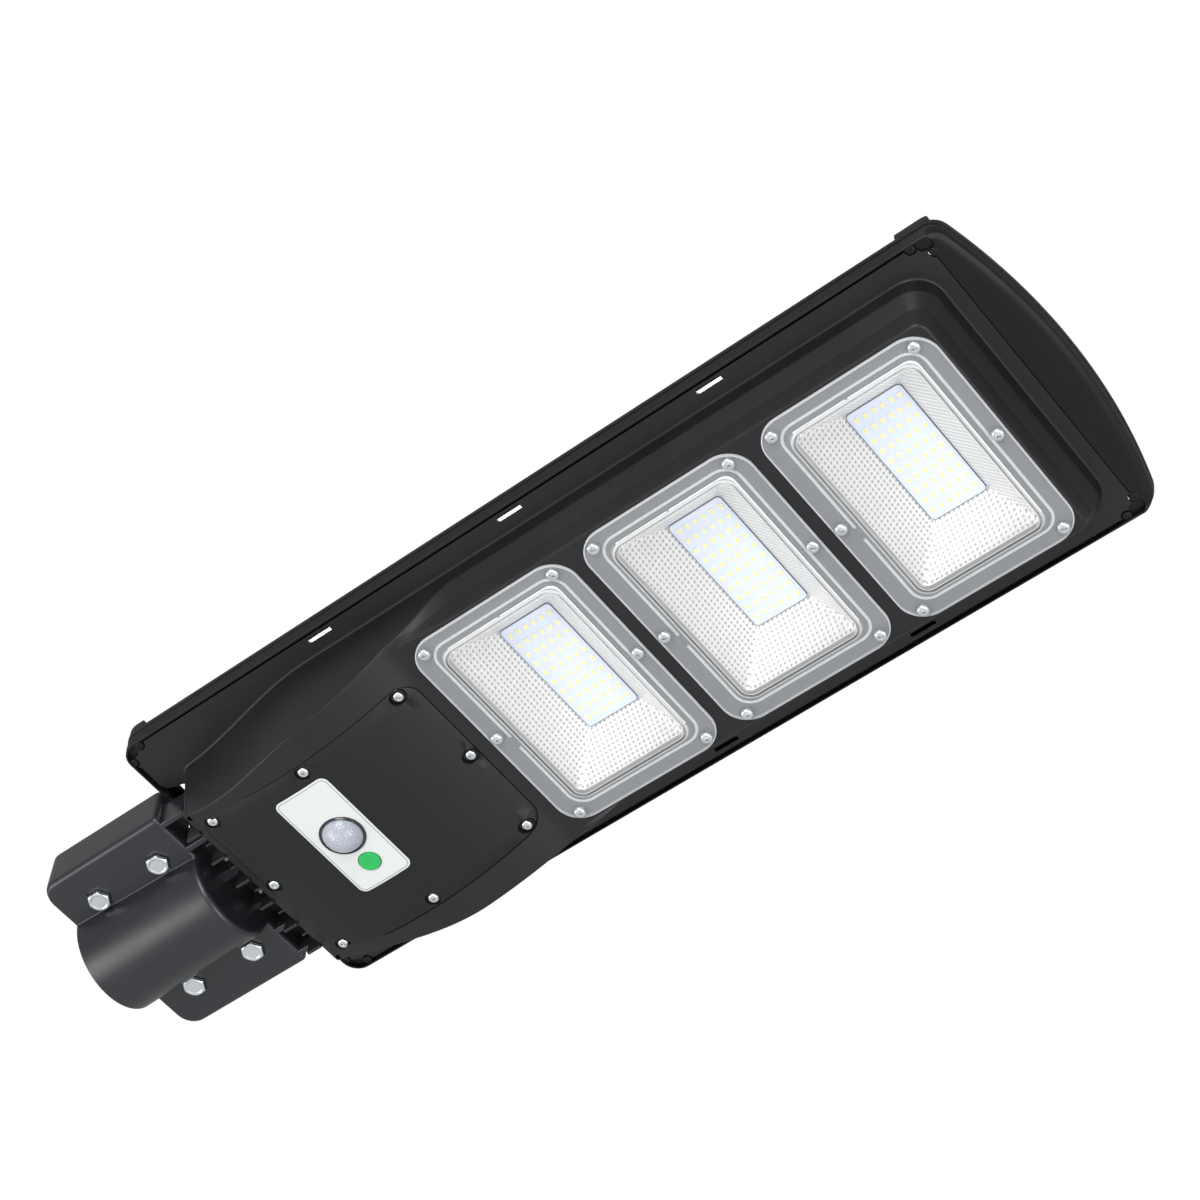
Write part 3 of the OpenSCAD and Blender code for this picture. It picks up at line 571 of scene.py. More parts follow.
@dataclass(frozen=True)
class Station:
    """A point of an outline with the direction that leads inwards."""

    x: float
    y: float
    nx: float
    ny: float

    def at(self, inset: float, z: float) -> Point3:
        """The point a given distance inside the outline, at height z."""
        return (self.x + self.nx * inset, self.y + self.ny * inset, z)


Loop = list[Station]


def arc_stations(
    cx: float, cy: float, r: float, a0: float, a1: float, steps: int, first: bool = True
) -> Loop:
    """Stations along an arc whose centre lies on the inner side.

    Args:
        cx: Centre x.
        cy: Centre y.
        r: Radius.
        a0: First angle in degrees.
        a1: Last angle in degrees.
        steps: Number of steps.
        first: Whether the first point is kept.

    Returns:
        The stations.
    """
    out = []
    for i in range(0 if first else 1, steps + 1):
        a = math.radians(a0 + (a1 - a0) * i / steps)
        out.append(
            Station(cx + r * math.cos(a), cy + r * math.sin(a), -math.cos(a), -math.sin(a))
        )
    return out


def line_stations(p: Point2, q: Point2, n: Point2, steps: int) -> Loop:
    """Stations strictly between two points of a straight edge."""
    return [
        Station(
            p[0] + (q[0] - p[0]) * i / steps, p[1] + (q[1] - p[1]) * i / steps, n[0], n[1]
        )
        for i in range(1, steps)
    ]


def rect_loop(
    cx: float, cy: float, hx: float, hy: float, r: float, corner: int = 8, side: int = 6
) -> Loop:
    """Rounded rectangle, walked with its inner side on the left.

    Args:
        cx: Centre x.
        cy: Centre y.
        hx: Half length along x.
        hy: Half length along y.
        r: Corner radius.
        corner: Steps round a corner.
        side: Steps along a side.

    Returns:
        The closed loop of stations.
    """
    spots = [(hx - r, hy - r, 0), (-(hx - r), hy - r, 90), (-(hx - r), -(hy - r), 180),
             (hx - r, -(hy - r), 270)]
    out: Loop = []
    for i, (dx, dy, a) in enumerate(spots):
        arc = arc_stations(cx + dx, cy + dy, r, a, a + 90, corner)
        out += arc
        nxt = spots[(i + 1) % 4]
        start = arc_stations(cx + nxt[0], cy + nxt[1], r, nxt[2], nxt[2] + 90, corner)[0]
        end = arc[-1]
        out += line_stations((end.x, end.y), (start.x, start.y), (end.nx, end.ny), side)
    return out


def fillet(points: Sequence[Point2], radii: Sequence[float], steps: int = 5) -> list[Point2]:
    """Rounds the inner corners of a section.

    Args:
        points: The section's corners.
        radii: One radius for each inner corner.
        steps: Steps round each corner.

    Returns:
        The rounded section, always with the same number of points.
    """
    out = [points[0]]
    for i, r in enumerate(radii, 1):
        a, b, c = (Vector(points[k]) for k in (i - 1, i, i + 1))
        u, v = a - b, c - b
        reach = min(u.length, v.length) * 0.49
        u.normalize()
        v.normalize()
        half = math.acos(max(-1, min(1, u.dot(v)))) / 2
        cut = min(reach, r / max(math.tan(half), 1e-6)) if half < 1.55 else min(reach, r * 0.5)
        p, q = b + u * cut, b + v * cut
        for k in range(steps + 1):
            t = k / steps
            spot = p * (1 - t) ** 2 + b * 2 * t * (1 - t) + q * t**2
            out.append((spot.x, spot.y))
    out.append(points[-1])
    return out


class Shell:
    """A mesh in the making, in millimetres of the lamp's frame."""

    def __init__(self) -> None:
        """Starts an empty mesh."""
        self.bm = bmesh.new()
        self.finish_of: dict[int, int] = {}

    def ring(self, points: Iterable[Point3]) -> list[bmesh.types.BMVert]:
        """Adds a row of points."""
        return [self.bm.verts.new(p) for p in points]

    def bridge(
        self,
        a: Sequence[bmesh.types.BMVert],
        b: Sequence[bmesh.types.BMVert],
        closed: bool = True,
        slot: int = 0,
    ) -> None:
        """Joins two rows with quads.

        Args:
            a: First row.
            b: Second row, as long as the first.
            closed: Whether the rows are loops.
            slot: The material slot of the new faces.
        """
        n = len(a)
        for i in range(n if closed else n - 1):
            j = (i + 1) % n
            corners = [a[i], a[j], b[j], b[i]]
            if len(set(corners)) < 3:
                continue
            try:
                self.bm.faces.new(corners).material_index = slot
            except ValueError:
                continue

    def loft(
        self,
        rings: Sequence[Sequence[Point3]],
        closed: bool = True,
        slot: int = 0,
    ) -> list[list[bmesh.types.BMVert]]:
        """Joins many rows in order.

        Args:
            rings: The rows of points.
            closed: Whether each row is a loop.
            slot: The material slot.

        Returns:
            The rows as mesh points.
        """
        rows = [self.ring(r) for r in rings]
        for a, b in zip(rows, rows[1:]):
            self.bridge(a, b, closed, slot)
        return rows

    def face(self, verts: Sequence[bmesh.types.BMVert], slot: int = 0) -> None:
        """Adds one many-sided face."""
        self.bm.faces.new(list(verts)).material_index = slot

    def sheet(
        self,
        outer: Sequence[bmesh.types.BMVert],
        holes: Sequence[Sequence[bmesh.types.BMVert]],
        height: Callable[[float, float], float],
        step: float = 0.0,
        slot: int = 0,
        plane: tuple[int, int] = (0, 1),
    ) -> None:
        """Fills a loop with holes by a triangulated sheet.

        Args:
            outer: The outer loop's points.
            holes: The loops of the holes.
            height: The third coordinate at a place of the plane.
            step: Spacing of extra inner points, or 0 for none.
            slot: The material slot.
            plane: The two axes of the plane.
        """
        i, j = plane
        k = 3 - i - j
        loops = [list(outer), *[list(h) for h in holes]]
        known = [v for loop in loops for v in loop]
        flat = [Vector((v.co[i], v.co[j])) for v in known]
        edges, at = [], 0
        polys = []
        for loop in loops:
            n = len(loop)
            edges += [(at + m, at + (m + 1) % n) for m in range(n)]
            polys.append([flat[at + m] for m in range(n)])
            at += n
        if step:
            lo = [min(p[m] for p in polys[0]) for m in (0, 1)]
            hi = [max(p[m] for p in polys[0]) for m in (0, 1)]
            for a in range(1, int((hi[0] - lo[0]) / step) + 1):
                for b in range(1, int((hi[1] - lo[1]) / (step * 2)) + 1):
                    p = Vector((lo[0] + a * step, lo[1] + b * step * 2))
                    if inside(p, polys) and clear(p, polys, step * 0.4):
                        flat.append(p)
        co, _, faces, origin, _, _ = delaunay_2d_cdt(flat, edges, [], 0, 1e-5)
        verts = []
        for m, c in enumerate(co):
            old = [o for o in origin[m] if o < len(known)]
            if old:
                verts.append(known[old[0]])
            else:
                spot = [0.0, 0.0, 0.0]
                spot[i], spot[j], spot[k] = c[0], c[1], height(c[0], c[1])
                verts.append(self.bm.verts.new(spot))
        for f in faces:
            mid = sum((co[m] for m in f), Vector((0, 0))) / len(f)
            if inside(mid, polys):
                corners = [verts[m] for m in f]
                if len(set(corners)) == len(corners):
                    try:
                        self.bm.faces.new(corners).material_index = slot
                    except ValueError:
                        continue

    def lathe(
        self, centre: Point3, section: Sequence[Point2], steps: int = 32, slot: int = 0
    ) -> None:
        """Turns a section of (radius, z) points about a vertical axis."""
        rows = []
        for r, z in section:
            if r < 1e-6:
                rows.append([self.bm.verts.new((centre[0], centre[1], centre[2] + z))])
                continue
            rows.append(
                self.ring(
                    (
                        centre[0] + r * math.cos(2 * math.pi * k / steps),
                        centre[1] + r * math.sin(2 * math.pi * k / steps),
                        centre[2] + z,
                    )
                    for k in range(steps)
                )
            )
        for a, b in zip(rows, rows[1:]):
            if len(a) == 1 and len(b) == 1:
                continue
            if len(a) == 1:
                a = a * steps
            if len(b) == 1:
                b = b * steps
            for k in range(steps):
                m = (k + 1) % steps
                corners = []
                for v in (a[k], a[m], b[m], b[k]):
                    if v not in corners:
                        corners.append(v)
                self.bm.faces.new(corners).material_index = slot

    def block(self, low: Point3, high: Point3, taper: float = 0.0, slot: int = 0) -> None:
        """Adds a box whose lower end may be drawn in by a taper."""
        (x0, y0, z0), (x1, y1, z1) = low, high
        t = taper
        low_ring = [(x0 + t, y0 + t, z0), (x1 - t, y0 + t, z0), (x1 - t, y1 - t, z0),
                    (x0 + t, y1 - t, z0)]
        top_ring = [(x0, y0, z1), (x1, y0, z1), (x1, y1, z1), (x0, y1, z1)]
        rows = self.loft([low_ring, top_ring], slot=slot)
        self.face(rows[0], slot)
        self.face(rows[1], slot)

    def object(
        self,
        name: str,
        finishes: Sequence[Finish],
        slot: str,
        body: Body = Body.LAMP,
        replaces: Sequence[str] = (),
        soften: float = 0.0,
        segments: int = 2,
        sharp: float = 35.0,
    ) -> bpy.types.Object:
        """Turns the mesh into a piece that rides on a body.

        Args:
            name: The piece's name.
            finishes: One finish for each material slot.
            slot: Not used.
            body: The body it rides on.
            replaces: The CAD nodes it stands for.
            soften: Width of the rounded edges in millimetres.
            segments: Steps across a rounded edge.
            sharp: Angle in degrees above which an edge is crisp.

        Returns:
            The new object.
        """
        bm = self.bm
        bmesh.ops.remove_doubles(bm, verts=bm.verts[:], dist=0.002)
        bmesh.ops.recalc_face_normals(bm, faces=bm.faces[:])
        bmesh.ops.scale(bm, vec=(MM, MM, MM), verts=bm.verts[:])
        mesh = bpy.data.meshes.new(name)
        bm.to_mesh(mesh)
        bm.free()
        made = bpy.data.objects.new(name, mesh)
        bpy.context.scene.collection.objects.link(made)
        finish_piece(made, finishes, slot, body, replaces, soften, segments, sharp)
        return made


def inside(p: Vector, polys: Sequence[Sequence[Vector]]) -> bool:
    """Whether a point lies in the first polygon and in none of the others."""

    def within(poly: Sequence[Vector]) -> bool:
        """Whether the point lies in one polygon, by the crossing rule."""
        hit = False
        j = len(poly) - 1
        for i, a in enumerate(poly):
            b = poly[j]
            if (a[1] > p[1]) != (b[1] > p[1]) and p[0] < (b[0] - a[0]) * (p[1] - a[1]) / (
                b[1] - a[1]
            ) + a[0]:
                hit = not hit
            j = i
        return hit

    return within(polys[0]) and not any(within(q) for q in polys[1:])


def clear(p: Vector, polys: Sequence[Sequence[Vector]], gap: float) -> bool:
    """Whether a point keeps its distance from every corner of the polygons."""
    return all((p - q).length > gap for poly in polys for q in poly)


def finish_piece(
    made: bpy.types.Object,
    finishes: Sequence[Finish],
    slot: str,
    body: Body,
    replaces: Sequence[str],
    soften: float = 0.0,
    segments: int = 2,
    sharp: float = 35.0,
) -> None:
    """Gives a piece its materials, rounded edges, smooth shading and its body.

    Args:
        made: The piece.
        finishes: One finish for each material slot.
        slot: Not used.
        body: The body it rides on.
        replaces: The CAD nodes it stands for.
        soften: Width of the rounded edges in millimetres.
        segments: Steps across a rounded edge.
        sharp: Angle in degrees above which an edge is crisp.
    """
    if made.data.materials:
        made.data.materials.clear()
    for f in finishes:
        made.data.materials.append(f.build())
    if soften:
        m = made.modifiers.new("soft_edges", "BEVEL")
        m.width = soften * MM
        m.segments = segments
        m.limit_method = "ANGLE"
        m.angle_limit = math.radians(30)
        m.use_clamp_overlap = True
        m.harden_normals = False
    made.data.polygons.foreach_set("use_smooth", [True] * len(made.data.polygons))
    made.data.set_sharp_from_angle(angle=math.radians(sharp))
    if soften:
        w = made.modifiers.new("even_normals", "WEIGHTED_NORMAL")
        w.keep_sharp = True
    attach(made, body.value)
    if replaces:
        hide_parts(*replaces)
    log.info("%s: %d faces, on %s", made.name, len(made.data.polygons), body.value)


def softened(
    node: str, finish: Finish, slot: str, width: float, body: Body = Body.LAMP, segments: int = 2
) -> bpy.types.Object:
    """Makes a piece from a CAD node with its edges rounded.

    Args:
        node: The CAD node.
        finish: Its finish.
        slot: Not used.
        width: Width of the rounding in millimetres.
        body: The body it rides on.
        segments: Steps across a rounded edge.

    Returns:
        The new piece.
    """
    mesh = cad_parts[node].data.copy()
    bm = bmesh.new()
    bm.from_mesh(mesh)
    bmesh.ops.remove_doubles(bm, verts=bm.verts[:], dist=0.000004)
    bmesh.ops.dissolve_limit(
        bm, angle_limit=math.radians(1.0), verts=bm.verts[:], edges=bm.edges[:]
    )
    bm.to_mesh(mesh)
    bm.free()
    made = bpy.data.objects.new(node + "_piece", mesh)
    bpy.context.scene.collection.objects.link(made)
    finish_piece(made, [finish], slot, body, [node], width, segments)
    return made


def dress(node: str, finish: Finish) -> None:
    """Gives a CAD node that stays its finish."""
    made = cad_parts[node]
    made.data.materials.clear()
    made.data.materials.append(finish.build())
    made.data.polygons.foreach_set("use_smooth", [True] * len(made.data.polygons))
    made.data.set_sharp_from_angle(angle=math.radians(30))
    log.info("%s: dressed as %s", node, finish.name)


def smooth_step(t: float) -> float:
    """Rises smoothly from 0 to 1."""
    t = min(1.0, max(0.0, t))
    return t * t * (3 - 2 * t)


def mix(a: float, b: float, t: float) -> float:
    """The value a share t of the way from a to b."""
    return a + (b - a) * t


def cut_with(target: bpy.types.Mesh, cutter: bpy.types.Mesh, how: str) -> bpy.types.Mesh:
    """Cuts one closed mesh with another.

    Args:
        target: The mesh that is cut.
        cutter: The mesh that cuts.
        how: DIFFERENCE or INTERSECT.

    Returns:
        The new mesh.
    """
    a = bpy.data.objects.new("cut_target", target)
    b = bpy.data.objects.new("cut_tool", cutter)
    for o in (a, b):
        bpy.context.scene.collection.objects.link(o)
    m = a.modifiers.new("cut", "BOOLEAN")
    m.operation = how
    m.solver = "EXACT"
    m.object = b
    bpy.context.view_layer.update()
    out = bpy.data.meshes.new_from_object(
        a.evaluated_get(bpy.context.evaluated_depsgraph_get())
    )
    for o in (a, b):
        bpy.data.objects.remove(o)
    return out


# ---------------------------------------------------------------- housing


@dataclass
class LampHousing:
    """The lower housing: slotted flange, tub with its stepped rim, and battery hump."""

    rear_x: float = 120.2
    nose_x: float = 676.8
    half: float = 92.9
    rear_half: float = 76.8
    flare_x: float = 234.7
    corner_r: float = 18.0
    rear_r: float = 7.0
    flange_z: float = 18.7
    flange_t: float = 1.8
    flange_half: float = 106.6
    flange_front: float = 686.2
    shoulder_z: float = 9.4
    deck_z: float = -10.8
    hump_r: float = 209.0
    hump_x: float = 198.0
    hump_z: float = -35.3
    merge_from: float = 294.0
    merge_to: float = 347.0
    modules: tuple[float, ...] = (360.0, 483.6, 607.2)
    pocket: Point2 = (42.6, 66.1)
    lid: tuple[float, float, float, float] = (128.5, 293.0, 64.8, 13.0)
    pins: tuple[Point2, ...] = ((677.2, 106.2), (687.2, 97.6), (113.0, 105.8), (101.2, 97.9))
    slots: tuple[float, ...] = (254.9, 398.2, 540.4)

    def under(self, x: float) -> float:
        """Height of the underside at x: the curved hump or the flat deck."""
        reach = self.hump_r**2 - (x - self.hump_x) ** 2
        z = self.hump_z + self.hump_r - math.sqrt(max(reach, 0.0))
        return min(z, self.deck_z) if x > self.hump_x else z

    def width(self, x: float) -> float:
        """Half width of the tub at x."""
        t = (x - self.rear_x) / (self.flare_x - self.rear_x)
        return mix(self.rear_half, self.half, smooth_step(t))

    def half_loop(self) -> Loop:
        """The +Y half of the tub's outline, from the rear middle to the nose middle."""
        out = [Station(self.rear_x, 0.0, 1.0, 0.0)]
        top = self.rear_half - self.rear_r
        out += line_stations((self.rear_x, 0.0), (self.rear_x, top), (1.0, 0.0), 8)
        out += arc_stations(self.rear_x + self.rear_r, top, self.rear_r, 180, 96, 7)
        steps = 40
        x0 = self.rear_x + self.rear_r + 1
        for i in range(steps):
            x = x0 + (self.merge_to + 8 - x0) * i / steps
            slope = (self.width(x + 0.5) - self.width(x - 0.5)) / 1.0
            n = math.hypot(slope, 1.0)
            out.append(Station(x, self.width(x), slope / n, -1.0 / n))
        x1 = self.merge_to + 8
        x2 = self.nose_x - self.corner_r
        out.append(Station(x1, self.half, 0.0, -1.0))
        out += line_stations((x1, self.half), (x2, self.half), (0.0, -1.0), 26)
        out += arc_stations(x2, self.half - self.corner_r, self.corner_r, 90, 0, 12)
        out += line_stations(
            (self.nose_x, self.half - self.corner_r), (self.nose_x, 0.0), (-1.0, 0.0), 8
        )
        out.append(Station(self.nose_x, 0.0, -1.0, 0.0))
        return out

    def loop(self) -> Loop:
        """The whole outline of the tub at the flange."""
        top = self.half_loop()
        low = [Station(s.x, -s.y, s.nx, -s.ny) for s in reversed(top[1:-1])]
        return top + low

    def section(self, s: Station) -> list[Point2]:
        """The wall's section at a station, from the flange to the deck.

        Args:
            s: The station.

        Returns:
            Points of (inset, height).
        """
        side = abs(s.ny)
        lean = mix(0.088, 0.155, side)
        inset = 6.0
        for _ in range(4):
            z = self.under(s.x + s.nx * inset)
            inset = lean * (self.flange_z - z)
        t = smooth_step((s.x - self.merge_from) / (self.merge_to - self.merge_from))
        t = t if side > 0.5 or s.x > 500 else 0.0
        ridge_in = mix(inset, 1.5, t)
        ridge_z = mix(z, self.shoulder_z, t)
        foot_in = mix(inset + 5.0, mix(10.8, 11.5, side), t)
        foot_z = mix(self.under(s.x + s.nx * (inset + 5.0)), self.deck_z, t)
        mid = (mix(ridge_in, foot_in, 0.5) + 0.9 * t, mix(ridge_z, foot_z, 0.5) + 0.4 * t)
        end_in = foot_in + 5.0
        end_z = self.under(s.x + s.nx * end_in)
        return fillet(
            [
                (-3.0, self.flange_z - 0.04),
                (0.0, self.flange_z - 0.04),
                (ridge_in, ridge_z),
                mid,
                (foot_in, foot_z),
                (end_in, end_z),
            ],
            [1.6, mix(5.0, 3.6, t), 3.0, 2.4],
            6,
        )

    def build(self) -> None:
        """Makes the skin, flange, ribs and the small details."""
        self.skin()
        self.flange()
        self.ribs()

    def skin(self) -> None:
        """Makes the tub's outer skin with its openings."""
        shell = Shell()
        loop = self.loop()
        sections = [self.section(s) for s in loop]
        rings = [
            [s.at(sec[k][0], sec[k][1]) for s, sec in zip(loop, sections)]
            for k in range(len(sections[0]))
        ]
        skin = shell.loft(rings)
        holes = []
        x0, x1, half, r = self.lid
        gap = 0.45
        lid = rect_loop(
            (x0 + x1) / 2, 0, (x1 - x0) / 2 + gap, half + gap, r + gap, corner=8, side=30
        )
        rim = shell.ring(s.at(0, self.under(s.x)) for s in lid)
        back = shell.ring(s.at(0, self.under(s.x) + 4.2) for s in lid)
        ledge = shell.ring(s.at(8, self.under(s.x + s.nx * 8) + 4.2) for s in lid)
        shell.bridge(rim, back)
        shell.bridge(back, ledge)
        holes.append(rim)
        for x in self.modules:
            outer = rect_loop(x, 0, 48.05, 71.65, 12.35, corner=8, side=6)
            inner = rect_loop(x, 0, 45.35, 68.95, 9.65, corner=8, side=6)
            mouth = rect_loop(x, 0, self.pocket[0], self.pocket[1], 6.0, corner=8, side=6)
            rows = shell.loft(
                [
                    [s.at(0, self.deck_z) for s in outer],
                    [s.at(0, self.deck_z + 2.3) for s in outer],
                    [s.at(0, self.deck_z + 2.3) for s in inner],
                    [s.at(0, self.deck_z) for s in inner],
                    [s.at(0, self.deck_z) for s in mouth],
                    [s.at(0, self.deck_z + 14) for s in mouth],
                ]
            )
            holes.append(rows[0])
        shell.sheet(skin[-1], holes, lambda x, y: self.under(x), step=5.0)
        shell.object(
            "housing_tub", [HOUSING], "housing_plastic", replaces=["lower_housing"], sharp=50
        )

    def flange_points(self) -> list[Point2]:
        """The flange's outline with a scallop round each pin."""
        h, f = self.flange_half, self.flange_front
        top = [(f, 0.0), (f, 93.5)]
        top += self.scallop((687.2, 97.6), -100, -225)
        top += [(681.5, 101.0)]
        top += self.scallop((677.2, 106.2), -40, -190)
        top += [(672.0, h), (400.0, h), (119.0, h)]
        top += self.scallop((113.0, 105.8), 10, -140)
        top += [(108.6, 101.6)]
        top += self.scallop((101.2, 97.9), 35, -95)
        top += [(102.6, 92.5), (102.4, 76.0), (104.4, 71.5), (109.0, 69.4), (114.5, 68.4),
                (117.0, 66.0), (117.0, 0.0)]
        low = [(x, -y) for x, y in reversed(top[1:-1])]
        return top + low

    def scallop(self, pin: Point2, a0: float, a1: float) -> list[Point2]:
        """Points of the arc that clears a pin."""
        return [
            (
                pin[0] + 3.7 * math.cos(math.radians(mix(a0, a1, k / 7))),
                pin[1] + 3.7 * math.sin(math.radians(mix(a0, a1, k / 7))),
            )
            for k in range(8)
        ]

    def flange(self) -> None:
        """Makes the flat flange with its slots."""
        shell = Shell()
        z0, z1 = self.flange_z, self.flange_z + self.flange_t
        slots = [
            rect_loop(x, s * 102.8, 8.65, 1.8, 1.2, corner=4, side=2)
            for x in self.slots
            for s in (-1, 1)
        ]
        inner = self.loop()
        both = []
        for z in (z0, z1):
            outer = shell.ring((x, y, z) for x, y in self.flange_points())
            holes = [shell.ring(s.at(0, z) for s in h) for h in slots]
            tub = shell.ring(s.at(1.2, z) for s in inner)
            shell.sheet(outer, [*holes, tub], lambda x, y, z=z: z)
            both.append([outer, *holes, tub])
        for a, b in zip(*both):
            shell.bridge(a, b)
        shell.object("housing_flange", [HOUSING], "housing_plastic", soften=0.45)

    def ribs(self) -> None:
        """Makes the rear ribs, the fixing pad and the drain holes."""
        shell = Shell()
        for y in (10.9, 32.8, 54.7):
            for s in (-1, 1):
                shell.block((113.8, s * y - 1.3, -23.6), (125.0, s * y + 1.3, -4.2), 0.25)
        for y in (0.0, 21.8, -21.8, 43.7, -43.7):
            shell.block((118.4, y - 1.0, -20.0), (124.5, y + 1.0, -4.2), 0.2)
        shell.object("housing_ribs", [HOUSING], "housing_plastic", soften=0.5)
        pad = Shell()
        pad.block((118.0, -66.0, -4.0), (124.0, 66.0, 16.0))
        pad.object("housing_pad", [HOUSING], "housing_plastic", soften=0.8)
        drain = Shell()
        for s in (-1, 1):
            z = self.under(128.2)
            drain.lathe(
                (128.2, s * 67.6, z),
                [(2.5, 1.2), (2.5, -0.1), (2.2, -0.35), (1.9, -0.35), (1.8, -0.1)],
                24,
            )
            drain.lathe((128.2, s * 67.6, z), [(1.85, -0.12), (0.0, -0.12)], 24, slot=1)
        drain.object("housing_drains", [LID, HOLE], "housing_plastic")


# ---------------------------------------------------------------- top frame


@dataclass
class TopFrame:
    """The frame round the solar panel, with its beaded side and arc nose."""

    rear_x: float = 98.6
    nose_x: float = 712.0
    half: float = 110.2
    corner: float = 12.0
    arc: float = 389.0
    top_z: float = 32.3
    rim_z: float = 17.3
    under_z: float = 18.7
    seam_x: float = 686.8
    web_z: float = 20.7

    def half_loop(self) -> Loop:
        """The +Y half of the outline, from the rear middle to the nose middle."""
        cx = self.nose_x - self.arc
        yc = self.half - self.corner
        fx = cx + math.sqrt((self.arc - self.corner) ** 2 - yc**2)
        a = math.degrees(math.asin(yc / (self.arc - self.corner)))
        out = [Station(self.rear_x, 0.0, 1.0, 0.0)]
        out += line_stations((self.rear_x, 0), (self.rear_x, yc), (1.0, 0.0), 6)
        out += arc_stations(self.rear_x + self.corner, yc, self.corner, 180, 90, 8)
        out += line_stations(
            (self.rear_x + self.corner, self.half), (fx, self.half), (0.0, -1.0), 40
        )
        out += arc_stations(fx, yc, self.corner, 90, a, 8)
        out += arc_stations(cx, 0.0, self.arc, a, 0, 20, first=False)
        return out

    def loop(self) -> Loop:
        """The whole outline."""
        top = self.half_loop()
        return top + [Station(s.x, -s.y, s.nx, -s.ny) for s in reversed(top[1:-1])]

    def nose_share(self, s: Station) -> float:
        """0 along the sides and rear, 1 round the nose."""
        return smooth_step((s.x - 686.0) / 9.0)

    def section(self, s: Station) -> list[Point2]:
        """The side's section at a station, from the panel's edge to the ledge."""
        t = self.nose_share(s)
        band = 0.55
        bead = 0.22
        out: list[Point2] = [(7.2, 31.55), (6.9, self.top_z)]
        out += fillet([(3.0, self.top_z), (0.0, self.top_z), (0.0, 29.0)], [1.3], 4)
        out += [(0.0, 28.3), (0.12, 28.1), (band, 28.0)]
        for z in (25.6, 23.1, 20.6):
            low = mix(z, max(z, 24.3 + (z - 20.6) * 0.35), t)
            out += [
                (band, low + 0.75),
                (band - bead, low + 0.55),
                (band - bead, low + 0.2),
                (band, low),
            ]
        rim = [(band, 19.0), (band, 17.6), (band + 0.3, self.rim_z), (1.55, self.rim_z),
               (1.8, 17.6), (1.8, 21.0), (1.8, 24.0), (8.8, 24.0)]
        nose = [(band, 23.4), (band + 0.35, 21.6), (1.7, 20.1), (3.4, 19.1), (5.4, 18.75),
                (7.6, self.under_z), (9.4, self.under_z), (11.0, self.under_z)]
        out += [(mix(a[0], b[0], t), mix(a[1], b[1], t)) for a, b in zip(rim, nose)]
        return out

    def build(self) -> None:
        """Makes the frame, its nose plate, inner ledge and pins."""
        shell = Shell()
        loop = self.loop()
        secs = [self.section(s) for s in loop]
        rows = shell.loft(
            [
                [s.at(sec[k][0], sec[k][1]) for s, sec in zip(loop, secs)]
                for k in range(len(secs[0]))
            ]
        )
        # underside of the nose, from its rounded edge to the seam
        nose = [v for v, s in zip(rows[-1], loop) if self.nose_share(s) > 0.55]
        split = next(
            i for i in range(len(nose)) if (nose[i].co - nose[i - 1].co).length > 60
        )
        nose = nose[split:] + nose[:split]
        seam = [
            (self.seam_x, nose[-1].co.y, self.under_z),
            (self.seam_x, 60.0, self.under_z),
            (self.seam_x, 0.0, self.under_z),
            (self.seam_x, -60.0, self.under_z),
            (self.seam_x, nose[0].co.y, self.under_z),
        ]
        line = shell.ring(seam)
        lip = shell.ring((x, y, z + 6.0) for x, y, z in seam)
        shell.bridge(line, lip, closed=False)
        shell.sheet([*nose, *line], [], lambda x, y: self.under_z)
        # webs that close the corners above the flange
        for near in (lambda s: s.x > 664.0, lambda s: s.x < 126.0):
            for side in (-1, 1):
                web = [s for s in loop if near(s) and side * s.y > 84.0]
                shell.loft(
                    [[s.at(d, self.web_z) for s in web] for d in (1.7, self.corner - 0.5)],
                    closed=False,
                )
        shell.object("frame_bezel", [FRAME], "frame_plastic", replaces=["top_frame"], sharp=28)
        self.inside_parts()

    def inside_parts(self) -> None:
        """Makes the top plate round the panel, the ledge and the pins."""
        plate = Shell()
        loop = self.loop()
        half, x0, x1 = 104.9, 104.6, 684.4
        for z, low in ((self.top_z - 0.02, True), (24.0, False)):
            outer = plate.ring(s.at(6.0 if low else 2.4, z) for s in loop)
            inset = 0.0 if low else 1.6
            hole = rect_loop(
                (x0 + x1) / 2, 0, (x1 - x0) / 2 - inset, half - inset, 1.0, corner=2, side=4
            )
            inner = plate.ring(s.at(0, z) for s in hole)
            plate.sheet(outer, [inner], lambda x, y, z=z: z)
            other = plate.ring(s.at(0, 26.6) for s in hole)
            plate.bridge(inner, other)
        plate.object("frame_ledge", [FRAME], "frame_plastic", sharp=30)
        pins = Shell()
        for x, y in LampHousing.pins:
            for s in (-1, 1):
                pins.lathe(
                    (x, s * y, 0.0),
                    [(2.75, 25.0), (2.75, 18.7), (2.6, 18.35), (2.2, 18.2), (0.9, 18.2),
                     (0.75, 18.45), (0.0, 18.5)],
                    24,
                )
        pins.object("frame_pins", [FRAME], "frame_plastic", sharp=40)


# ---------------------------------------------------------------- battery lid


